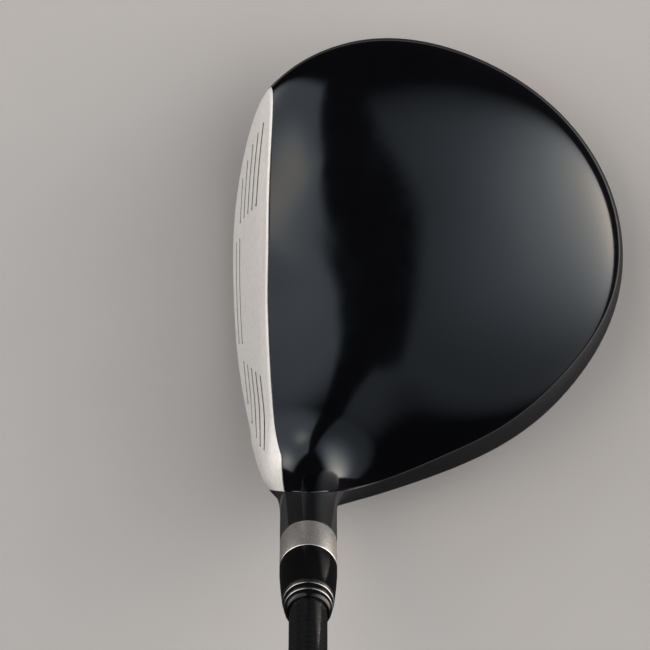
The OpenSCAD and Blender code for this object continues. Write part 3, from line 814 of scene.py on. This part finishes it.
PORT_LOW = 1.0
RECESS_DEPTH = 4.0
on_port = upright(*WEIGHT_AT, PORT_LOW)
port = turned("weight_seat", [
    (0, 12), (0, 11), (2.5, 11), (2.5, RECESS_DEPTH), (8.55, RECESS_DEPTH), (8.55, 0), (PORT_RADIUS, 0),
    (PORT_RADIUS, 5.2), (4.6, 5.2), (4.6, 12)], to_frame=on_port, bevel=0.2)
weight = turned("round_weight", [
    (2.65, 2.4), (4.6, 2.4), (4.6, 0), (6.1, 0), (6.3, 0.35), (6.9, 0.35), (7.1, 0),
    (8.5, 0), (8.5, RECESS_DEPTH - PLAY), (2.65, RECESS_DEPTH - PLAY)], to_frame=on_port, bevel=0.25)
weight_screw, weight_thread = cap_screw("weight_bolt_head", 4.4, 0.2, 2.17, 10.17, 1.41, on_port)

# ---------------------------------------------------------------- shaft and grip


# Places along the shaft axis, and the shaft's outer radius there
SHAFT_MARKS = [0, 100, 773, GRIP_LOW, 1088]
SHAFT_RADII = [4.25, 4.25, 7.0, 7.0, 7.6]


def shaft_radius(s):
    return float(np.interp(s, SHAFT_MARKS, SHAFT_RADII))


shaft = turned("tapered_shaft", [
    (2.63, SOCKET_LOW + PLAY), (4.25, SOCKET_LOW + PLAY), *zip(SHAFT_RADII[1:], SHAFT_MARKS[1:]),
    (6.7, 1088), (6.1, GRIP_LOW), (6.1, 773), (2.63, 100)], bevel=0.2)

GRIP_TURNS = 112
GRIP_MOUTH, GRIP_BUTT = 9.3, 12.6
TAPE = 0.21
HELIX_PITCH = 44.0
HELIX_STARTS = 8
GROOVE_DEPTH = 0.32
RING_PLACES = (4.5, 7.0, 9.5, 253.0, 255.5)


def grip_radius(s):
    share = np.clip((s - GRIP_LOW) / (CLUB_LENGTH - GRIP_LOW), 0, 1)
    return GRIP_MOUTH + (GRIP_BUTT - GRIP_MOUTH) * share ** 0.9


def grip_pattern(turn, s):
    """Depth of the moulded pattern: crossing helical grooves in panels, with plain rings between them."""
    share = (s - GRIP_LOW - 12) / (CAP_LOW - GRIP_LOW - 20)
    twist = 2 * math.pi * s / HELIX_PITCH
    one = np.abs(np.sin(HELIX_STARTS * (turn + twist) / 2))
    two = np.abs(np.sin(HELIX_STARTS * (turn - twist) / 2))
    grooves = 1 - smooth_step(np.minimum(one, two) / 0.3)
    panels = smooth_step(np.sin(math.pi * 4 * share) ** 2 / 0.05)
    return GROOVE_DEPTH * grooves * panels * smooth_step(share / 0.01) * smooth_step((1 - share) / 0.01)


def grip_piece():
    turn = np.linspace(0, 2 * math.pi, GRIP_TURNS, endpoint=False)
    lip = [(GRIP_MOUTH - 1 + math.cos(a), GRIP_LOW + 1 + math.sin(a))
           for a in np.linspace(-math.pi / 2, 0, 7)]
    s = np.arange(GRIP_LOW + 1.6, CAP_LOW - 0.05, 0.75)
    rings = 0.3 * sum(np.exp(-((s - GRIP_LOW - at) / 0.5) ** 2) for at in RING_PLACES)
    ss, tt = np.meshgrid(s, turn, indexing="ij")
    radii = grip_radius(ss) - rings[:, None] - grip_pattern(tt, ss)
    top = CAP_LOW - 0.02
    rows = [(shaft_radius(GRIP_LOW) + TAPE, GRIP_LOW), *lip, *zip(radii, s),
            (grip_radius(CAP_LOW) - 0.15, top), (shaft_radius(CAP_LOW) + TAPE, top)]
    full = np.ones(GRIP_TURNS)
    points = np.concatenate([place_on_axis(r * full, h * full, turn) for r, h in rows])
    faces = grid_faces(len(rows), GRIP_TURNS, True, True)
    return smooth(face_outwards(mesh_object("grip_rubber", points, faces)), 60)


grip = grip_piece()
_foot = float(grip_radius(CAP_LOW))
cap_profile = [(7.85, 0.03), (_foot, 0.03), (_foot + 1.1, 0.7), (15.2, 2.2)]
cap_profile += [(12.6 + 3 * math.cos(a), 4.5 + 3 * math.sin(a)) for a in np.linspace(0, math.pi / 2, 9)]
cap_profile += [(9.5, 8.0), (9.2, 7.75), (8.6, 7.75), (8.3, 8.0), (1.25, 8.0), (1.25, 4.03), (7.85, 4.03)]
cap = turned("grip_butt_cap", [(r, CAP_LOW + h) for r, h in cap_profile], bevel=0.15)

# ---------------------------------------------------------------- finishes


class Nodes:
    """A fresh node tree of a material, world or light, and short calls for filling it."""

    def __init__(self, owner):
        owner.use_nodes = True
        self.tree = owner.node_tree
        self.tree.nodes.clear()

    def plug(self, value, socket):
        if hasattr(value, "is_output"):
            self.tree.links.new(value, socket)
        else:
            socket.default_value = value

    def node(self, kind, inputs=(), **settings):
        """New node with its settings. Its inputs are given in order, or by name or number."""
        node = self.tree.nodes.new(kind)
        for key, value in settings.items():
            setattr(node, key, value)
        for key, value in inputs.items() if isinstance(inputs, dict) else enumerate(inputs):
            self.plug(value, node.inputs[key])
        return node

    def math(self, operation, *values):
        return self.node("ShaderNodeMath", values, operation=operation).outputs[0]

    def vector(self, operation, *values):
        node = self.node("ShaderNodeVectorMath", values, operation=operation)
        return node.outputs["Value" if operation in ("DOT_PRODUCT", "LENGTH") else "Vector"]

    def remap(self, *values):
        """Value, its low and high, and what they become."""
        return self.node("ShaderNodeMapRange", values).outputs[0]


class Finish(Nodes):
    """A material with a Principled shader, and the patterns that the finishes are made of."""

    def __init__(self, name, color, **inputs):
        self.material = bpy.data.materials.new(name)
        super().__init__(self.material)
        self.shader = self.node("ShaderNodeBsdfPrincipled")
        self.output = self.node("ShaderNodeOutputMaterial", {"Surface": self.shader.outputs[0]})
        self.where = self.node("ShaderNodeTexCoord").outputs["Object"]
        self.normal = None
        self.set("Base Color", (*color, 1.0))
        for key, value in inputs.items():
            self.set(key.replace("_", " "), value)
        self.material.diffuse_color = (*color, 1.0)

    def set(self, name, value):
        self.plug(value, self.shader.inputs[name])

    def stretched(self, scale, vector=None):
        """Coordinates scaled differently along the three axes."""
        return self.node("ShaderNodeMapping", {"Vector": vector or self.where, "Scale": scale}).outputs[0]

    def along_shaft(self):
        """Coordinates with z along the shaft axis and x, y across it, in metres."""
        shift = self.vector("SUBTRACT", self.where, tuple(AXIS_POINT * MM))
        parts = [self.vector("DOT_PRODUCT", shift, tuple(axis)) for axis in (AXIS_UP, AXIS_SIDE, AXIS)]
        return self.node("ShaderNodeCombineXYZ", parts).outputs[0]

    def noise(self, scale, detail=3.0, roughness=0.5, vector=None):
        inputs = {"Vector": vector or self.where, "Scale": scale, "Detail": detail, "Roughness": roughness}
        return self.node("ShaderNodeTexNoise", inputs).outputs["Fac"]

    def attribute(self, name):
        return self.node("ShaderNodeAttribute", attribute_name=name).outputs["Fac"]

    def mix(self, factor, a, b):
        a, b = (c if hasattr(c, "is_output") else (*c, 1.0) for c in (a, b))
        return self.node("ShaderNodeMix", {"Factor": factor, 6: a, 7: b}, data_type="RGBA").outputs[2]

    def tint(self, factor, a, b):
        self.set("Base Color", self.mix(factor, a, b))

    def grain(self, pattern, low, high, dark=0.3, bright=0.7):
        """Roughness that follows a pattern."""
        self.set("Roughness", self.remap(pattern, dark, bright, low, high))

    def bump(self, height, strength, depth_mm, coat=False):
        inputs = {"Strength": strength, "Distance": depth_mm * MM, "Height": height}
        if self.normal is not None:
            inputs["Normal"] = self.normal
        self.normal = self.node("ShaderNodeBump", inputs).outputs[0]
        self.set("Normal", self.normal)
        if coat:
            self.set("Coat Normal", self.normal)


def crown_paint():
    f = Finish("gloss_black_paint", (0.0018, 0.0018, 0.0026), Roughness=0.05)
    f.set("Specular Tint", (0.74, 0.87, 1.0, 1.0))
    f.tint(f.noise(60, 3), (0.0014, 0.0014, 0.0021), (0.0023, 0.0024, 0.0034))
    f.grain(f.noise(240, 4, 0.6), 0.09, 0.13, 0.35, 0.75)
    f.bump(f.noise(520, 1.5), 0.03, 0.05)
    return f.material


def face_steel():
    f = Finish("brushed_face_steel", (0.8, 0.8, 0.79), Roughness=0.5, Anisotropic=0.3)
    brushed = f.noise(1.0, 3, 0.6, f.stretched((260, 5200, 5200)))
    grit = f.noise(3800, 3, 0.65)
    blotches = f.remap(f.noise(900, 3, 0.6), 0.3, 0.7, 0.0, 0.5)
    mottled = f.math("ADD", f.remap(brushed, 0.3, 0.7, 0.0, 0.5), blotches)
    groove = f.remap(f.attribute("score"), 0.25, 0.8, 0.0, 1.0)
    f.tint(groove, f.mix(mottled, (0.72, 0.72, 0.715), (0.93, 0.93, 0.92)), (0.02, 0.02, 0.022))
    f.set("Metallic", f.remap(groove, 0, 1, 0.25, 0.0))
    f.set("Specular IOR Level", f.remap(groove, 0, 1, 0.5, 0.05))
    f.grain(grit, 0.44, 0.6)
    f.bump(brushed, 0.25, 0.02)
    f.bump(grit, 0.12, 0.02)
    return f.material


def neck_paint():
    """Satin grey with the crown's gloss paint running on as a tongue, and one flank bare metal."""
    f = Finish("neck_paint", (0.035, 0.036, 0.04))
    tongue = f.remap(f.attribute("tongue"), -0.06, 0.06, 0.0, 1.0)
    bare = f.remap(f.attribute("bare"), -1.2, 1.2, 0.0, 1.0)
    satin = f.mix(f.noise(90, 4, 0.6), (0.05, 0.052, 0.058), (0.075, 0.077, 0.084))
    f.tint(tongue, f.mix(bare, satin, (0.55, 0.55, 0.545)), (0.0035, 0.0035, 0.005))
    off = f.math("SUBTRACT", 1.0, tongue)
    f.set("Metallic", f.math("MULTIPLY", off, f.remap(bare, 0, 1, 0.5, 1.0)))
    f.grain(f.noise(1400, 3), 0.32, 0.44)
    f.set("Coat Weight", f.remap(tongue, 0, 1, 0.25, 1.0))
    f.set("Coat Roughness", f.remap(tongue, 0, 1, 0.3, 0.05))
    f.bump(f.noise(5200, 2), 0.1, 0.02)
    return f.material


def collar_metal():
    f = Finish("satin_collar_metal", (0.85, 0.85, 0.845), Metallic=0.9, Roughness=0.26)
    lathe = f.noise(1.0, 2, 0.5, f.stretched((120, 120, 9000), f.along_shaft()))
    blast = f.noise(2600, 3, 0.65)
    f.tint(f.remap(blast, 0.3, 0.7, 0, 1), (0.74, 0.735, 0.73), (1.0, 0.99, 0.98))
    f.grain(blast, 0.27, 0.4)
    f.bump(lathe, 0.08, 0.01)
    f.bump(blast, 0.35, 0.02)
    return f.material


def gloss_black(name, color, roughness):
    f = Finish(name, color, Roughness=roughness, Coat_Weight=0.35, Coat_Roughness=0.08)
    f.set("Specular IOR Level", 0.2)
    f.tint(f.noise(300, 3), color, tuple(1.5 * c for c in color))
    f.grain(f.noise(1800, 4, 0.6), roughness * 0.8, roughness * 1.5, 0.35, 0.75)
    f.bump(f.noise(900, 2), 0.03, 0.03, coat=True)
    return f.material


def bright_metal(name, color, roughness):
    f = Finish(name, color, Metallic=1.0, Roughness=roughness)
    f.grain(f.noise(1500, 4, 0.6), roughness * 0.75, roughness * 1.6, 0.3, 0.75)
    f.bump(f.noise(2600, 3), 0.05, 0.01)
    return f.material


def turned_steel(name, color, roughness, wear=0.15, pitch_mm=0.28):
    """Lathe-turned metal, with fine rings about the weight port's vertical axis."""
    f = Finish(name, color, Metallic=1.0, Roughness=roughness)
    shift = f.vector("SUBTRACT", f.where, (WEIGHT_AT[0] * MM, WEIGHT_AT[1] * MM, 0))
    distance = f.vector("LENGTH", f.vector("MULTIPLY", shift, (1, 1, 0)))
    rings = f.math("SINE", f.math("MULTIPLY", distance, 2 * math.pi / (pitch_mm * MM)))
    grain = f.noise(2200, 4, 0.6)
    f.tint(grain, tuple(c * (1 - wear) for c in color), color)
    f.grain(grain, roughness * 0.8, roughness * 1.4)
    f.bump(rings, 0.12, 0.01)
    f.bump(grain, 0.08, 0.01)
    return f.material


def black_oxide():
    f = Finish("black_oxide_steel", (0.05, 0.05, 0.055), Metallic=0.9, Roughness=0.38)
    worn = f.remap(f.noise(1200, 5, 0.65), 0.5, 0.8, 0.0, 0.5)
    f.tint(worn, (0.035, 0.035, 0.04), (0.22, 0.21, 0.2))
    f.grain(f.noise(3000, 3), 0.3, 0.5)
    f.bump(f.noise(4200, 3), 0.15, 0.01)
    return f.material


def shaft_lacquer(tow_pitch_mm=4.0, tows=6.0):
    """Clear lacquer over carbon tows that cross in two helices."""
    f = Finish("lacquered_carbon", (0.008, 0.008, 0.009), Roughness=0.28, Coat_Weight=1.0,
               Coat_Roughness=0.04)
    split = f.node("ShaderNodeSeparateXYZ", (f.along_shaft(),))
    turn = f.math("ARCTAN2", split.outputs[1], split.outputs[0])
    run = f.math("MULTIPLY", split.outputs[2], 2 * math.pi / (tow_pitch_mm * MM))
    waves = [f.math("SINE", f.math(way, f.math("MULTIPLY", turn, tows), run)) for way in ("ADD", "SUBTRACT")]
    tow = f.remap(f.math("MULTIPLY", *waves), -1, 1, 0, 1)
    f.tint(tow, (0.004, 0.004, 0.0045), (0.008, 0.008, 0.009))
    f.grain(tow, 0.26, 0.32, 0, 1)
    f.set("Coat Roughness", f.remap(f.noise(700, 4, 0.6), 0.35, 0.75, 0.03, 0.07))
    f.bump(f.noise(600, 2), 0.02, 0.03)
    return f.material


def rubber(name, color):
    f = Finish(name, color, Roughness=0.72)
    f.tint(f.noise(120, 4, 0.6), color, tuple(c * 1.7 for c in color))
    f.grain(f.noise(2500, 3), 0.62, 0.85)
    pores = f.node("ShaderNodeTexVoronoi", {"Vector": f.where, "Scale": 1700})
    f.bump(pores.outputs["Distance"], 0.35, 0.08)
    f.bump(f.noise(5000, 3), 0.2, 0.04)
    return f.material


def crepe_tape():
    f = Finish("paper_tape", (0.8, 0.77, 0.65), Roughness=0.85)
    f.tint(f.noise(400, 4), (0.72, 0.68, 0.55), (0.84, 0.81, 0.7))
    f.bump(f.noise(1.0, 3, 0.6, f.stretched((2500, 600, 2500))), 0.5, 0.05)
    return f.material


def clouded(name, color, dark, light, cloud, bump, grain=None, **inputs):
    """Finish whose colour, bump and perhaps roughness follow noise, given as its settings, then its use."""
    f = Finish(name, color, **inputs)
    f.tint(f.noise(*cloud), dark, light)
    if grain:
        f.grain(f.noise(*grain[0]), *grain[1:])
    f.bump(f.noise(*bump[0]), *bump[1:])
    return f.material


def body_paint():
    return clouded("satin_grey_paint", (0.035, 0.036, 0.04), (0.028, 0.029, 0.033), (0.045, 0.046, 0.05),
                   (90, 4, 0.6), ((5200, 2), 0.12, 0.02), ((1400, 3), 0.34, 0.46),
                   Metallic=0.5, Roughness=0.4, Coat_Weight=0.25, Coat_Roughness=0.3)


def cast_metal():
    return clouded("raw_casting", (0.3, 0.3, 0.31), (0.2, 0.2, 0.205), (0.36, 0.36, 0.37), (700, 5, 0.65),
                   ((1600, 4, 0.6), 0.5, 0.1), Metallic=0.8, Roughness=0.6)


def nylon():
    return clouded("black_nylon", (0.03, 0.03, 0.03), (0.022, 0.022, 0.022), (0.04, 0.04, 0.04), (500, 3),
                   ((2600, 3), 0.2, 0.02), Roughness=0.5)


def brass():
    return clouded("turned_brass", (0.65, 0.5, 0.25), (0.55, 0.41, 0.2), (0.72, 0.56, 0.3), (900, 4),
                   ((3000, 3), 0.1, 0.01), Metallic=1.0, Roughness=0.3)


def store(obj, name, values):
    layer = obj.data.attributes.new(name, "FLOAT", "POINT")
    layer.data.foreach_set("value", np.asarray(values, np.float32))


def mark_score_lines():
    """Depth of the score lines, as black as it gets from SCORE_INKED down."""
    depth = -skin(*vertices(face).T)
    store(face, "score", np.where(depth < FACE_WALL / 2, np.clip(depth / SCORE_INKED, 0, 1), 0))


def mark_neck():
    """Distances in millimetres inside the tongue of gloss paint and inside the bare flank."""
    d = vertices(neck) - AXIS_POINT
    s = d @ AXIS
    turn = np.arctan2(d @ AXIS_SIDE, d @ AXIS_UP)
    outer = np.hypot(d @ AXIS_SIDE, d @ AXIS_UP) > NECK_RADIUS - 0.3
    below = (NECK_TOP - s) / TONGUE_FLARE_OVER
    left, right = (math.radians(at) + math.radians(flare) * below for at, flare in TONGUE_SIDES)
    tongue = np.where(turn < 0, turn + left, right - turn) * NECK_RADIUS
    store(neck, "tongue", np.where(outer, tongue, FAR_OUTSIDE))
    from_flank = np.abs(np.mod(turn - FLANK_TURN + math.pi, 2 * math.pi) - math.pi) * NECK_RADIUS
    bare = FLANK_HALF - from_flank - np.maximum(s - FLANK_TOP, 0) * FLANK_TAPER
    store(neck, "bare", np.where(outer, bare, FAR_OUTSIDE))


# The tongue's two sides at the neck's top, in degrees, and how much they flare over a length in mm
TONGUE_SIDES = [(44, 8), (52, 14)]
TONGUE_FLARE_OVER = 12
FLANK_TURN = math.radians(-92)
FLANK_HALF, FLANK_TOP, FLANK_TAPER = 4.2, 43.0, 0.55
FAR_OUTSIDE = -5.0
mark_score_lines()
mark_neck()

PAINT = {
    "crown": crown_paint(), "body": body_paint(), "face": face_steel(), "neck": neck_paint(),
    "collar": collar_metal(), "ferrule": gloss_black("polished_black_plastic", (0.003, 0.003, 0.0035), 0.16),
    "chrome": bright_metal("bright_trim", (0.38, 0.38, 0.385), 0.22),
    "sleeve": gloss_black("black_anodised", (0.02, 0.02, 0.022), 0.35),
    "steel": turned_steel("turned_steel", (0.5, 0.5, 0.51), 0.28),
    "port": turned_steel("turned_port_steel", (0.4, 0.4, 0.41), 0.34),
    "oxide": black_oxide(), "shaft": shaft_lacquer(),
    "grip": rubber("moulded_rubber", (0.011, 0.011, 0.0115)),
    "cap": rubber("moulded_cap_rubber", (0.014, 0.014, 0.0145)), "cast": cast_metal(), "tape": crepe_tape(),
    "nylon": nylon(), "brass": brass(),
}

# The pieces of each body: mesh, finish, slot, and the CAD nodes that the mesh replaces
DRESSED = {
    "head": [(crown, "crown", "crown", "crown"), (body, "body", "head_body", "head_body"),
             (face, "face", "face_plate", "face_plate"), (neck, "neck", "hosel", "hosel"),
             (port, "port", "weight_port", "weight_port")],
    "collar": [(collar, "collar", "hosel_collar", "hosel_collar")],
    "shaft_assembly": [(sleeve, "sleeve", "shaft_sleeve", "shaft_sleeve"),
                       (ferrule, "ferrule", "ferrule", "ferrule"),
                       (ring_low, "chrome", "trim_ring", "ferrule_ring_lower"),
                       (ring_high, "chrome", "trim_ring", "ferrule_ring_upper"),
                       (shaft, "shaft", "shaft", "shaft"), (grip, "grip", "grip", "grip"),
                       (cap, "cap", "grip_cap", "grip_cap")],
    "hosel_bolt": [(hosel_screw, "oxide", "screw", "hosel_screw"), (hosel_thread, "oxide", "screw"),
                   (washer, "steel", "washer", "screw_washer"),
                   (retainer, "nylon", "retainer", "screw_retainer")],
    "weight": [(weight, "steel", "sole_weight", "sole_weight")],
    "weight_bolt": [(weight_screw, "oxide", "screw", "sole_weight_screw"), (weight_thread, "oxide", "screw")],
}


def dress(obj, paint):
    obj.data.materials.clear()
    obj.data.materials.append(PAINT[paint])


for body_name, pieces in DRESSED.items():
    for obj, paint, slot, *nodes in pieces:
        dress(obj, paint)
        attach(obj, body_name)
        if nodes:
            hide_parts(*nodes)
for node, paint in (("weight_bar", "cast"), ("tip_weight", "brass"), ("grip_tape", "tape")):
    dress(frame["nodes"][node], paint)

# ---------------------------------------------------------------- floor, light and camera


def floor_and_world():
    """Pale floor that the camera sees from above; the panels' light and the reflections pass through it."""
    side = FLOOR_HALF
    points = np.array([(-side, -side, 0), (side, -side, 0), (side, side, 0), (-side, side, 0)]) / MM
    floor = mesh_object("studio_floor", points, [(0, 1, 2, 3)])
    f = Finish("pale_floor", (0.5, 0.5, 0.5), Roughness=0.7)
    f.tint(f.noise(30, 4), (0.48, 0.48, 0.485), (0.52, 0.52, 0.525))
    f.bump(f.noise(400, 3), 0.05, 0.2)
    seen = f.node("ShaderNodeLightPath").outputs["Is Camera Ray"]
    below = f.node("ShaderNodeNewGeometry").outputs["Backfacing"]
    shown = f.math("MULTIPLY", seen, f.math("SUBTRACT", 1.0, below))
    clear = f.node("ShaderNodeBsdfTransparent").outputs[0]
    join = f.node("ShaderNodeMixShader", (shown, clear, f.shader.outputs[0]))
    f.plug(join.outputs[0], f.output.inputs["Surface"])
    floor.data.materials.append(f.material)
    world = bpy.data.worlds.new("studio")
    w = Nodes(world)
    camera_ray = w.node("ShaderNodeLightPath").outputs["Is Camera Ray"]
    strength = w.node("ShaderNodeMapRange",
                      {"Value": camera_ray, "To Min": WORLD_LIGHT, "To Max": WORLD_SEEN})
    background = w.node("ShaderNodeBackground", (WORLD_COLOR, strength.outputs[0]))
    w.node("ShaderNodeOutputWorld", {"Surface": background.outputs[0]})
    bpy.context.scene.world = world


def softbox(name, tilt, shift, reach, base, patches):
    """Large soft panel facing the head, tilted from the vertical towards +Y, with brighter patches on it.

    shift is how far it is moved along X, and reach its half length and half width, as shares of its distance.
    Each patch is its centre along and down the panel, its size along and down, and its brightness."""
    t = math.radians(tilt)
    half = [r * LIGHT_DISTANCE for r in reach]
    data = bpy.data.lights.new(name, "AREA")
    data.shape = "RECTANGLE"
    data.size, data.size_y = 2 * half[0], 2 * half[1]
    data.energy = math.pi * data.size * data.size_y
    n = Nodes(data)
    split = n.node("ShaderNodeSeparateXYZ", (n.node("ShaderNodeNewGeometry").outputs["Parametric"],))
    u, v = (n.math("MULTIPLY_ADD", split.outputs[k], 2.0, -1.0) for k in (0, 1))
    if t < 0:
        v = n.math("MULTIPLY", v, -1.0)
    edges = [n.node("ShaderNodeMapRange", (n.math("ABSOLUTE", w), 1.0, 1.0 - soft, 0.0, 1.0),
                    interpolation_type="SMOOTHSTEP").outputs[0] for w, soft in zip((u, v), EDGE_SOFTNESS)]
    level, warmth = base, 0.0
    for at_u, at_v, size_u, size_v, glow in patches:
        across = n.math("DIVIDE", n.math("SUBTRACT", u, at_u), size_u)
        down = n.math("DIVIDE", n.math("SUBTRACT", v, at_v), size_v)
        square = n.math("ADD", n.math("MULTIPLY", across, across), n.math("MULTIPLY", down, down))
        patch = n.math("EXPONENT", n.math("MULTIPLY", square, -1.0))
        level = n.math("MULTIPLY_ADD", patch, glow, level)
        warmth = n.math("MAXIMUM", warmth, patch)
    tint = n.node("ShaderNodeMixRGB", (warmth, (*COOL, 1.0), (*WARM, 1.0))).outputs[0]
    level = n.math("MULTIPLY", n.math("MULTIPLY", level, edges[0]), edges[1])
    emission = n.node("ShaderNodeEmission", (tint, level))
    n.node("ShaderNodeOutputLight", {"Surface": emission.outputs[0]})

    light = bpy.data.objects.new(name, data)
    bpy.context.scene.collection.objects.link(light)
    away = Vector((0, math.sin(t), math.cos(t)))
    side = Vector((1, 0, 0))
    light.matrix_world = Matrix.Translation((away + side * shift) * LIGHT_DISTANCE) @ Matrix(
        (side, away.cross(side), away)).transposed().to_4x4()
    light.visible_camera = False


LIGHT_DISTANCE = 14.0
EDGE_SOFTNESS = (0.45, 0.12)  # share of a panel's half length and half width over which it fades
COOL = (1.0, 0.99, 0.98)
WARM = (1.0, 0.82, 0.66)
FLOOR_HALF = 8.0
WORLD_COLOR = (0.95, 0.96, 1.0, 1.0)
WORLD_LIGHT, WORLD_SEEN = 0.02, 0.55
bpy.context.scene.view_settings.view_transform = "Standard"
floor_and_world()
softbox("left_softbox", -56, -0.55, (1.25, 1.11), 1.2,
        [(0.19, -0.54, 0.19, 0.24, 2.2), (-0.09, 0.5, 0.35, 0.35, 3.2)])
softbox("right_softbox", 62, 0.0, (1.6, 1.43), 0.4, [(-0.2, 0.5, 0.34, 0.75, 6.0)])

CAMERA_HEIGHT = 1.3
camera_data = bpy.data.cameras.new("camera")
camera_data.lens = 310.0
camera_data.clip_start = 0.01
camera = bpy.data.objects.new("camera", camera_data)
bpy.context.scene.collection.objects.link(camera)
camera.location = (0.0078, -0.0122, CAMERA_HEIGHT)
camera.rotation_euler = (0, 0, math.pi / 2)
bpy.context.scene.camera = camera

bpy.context.view_layer.update()
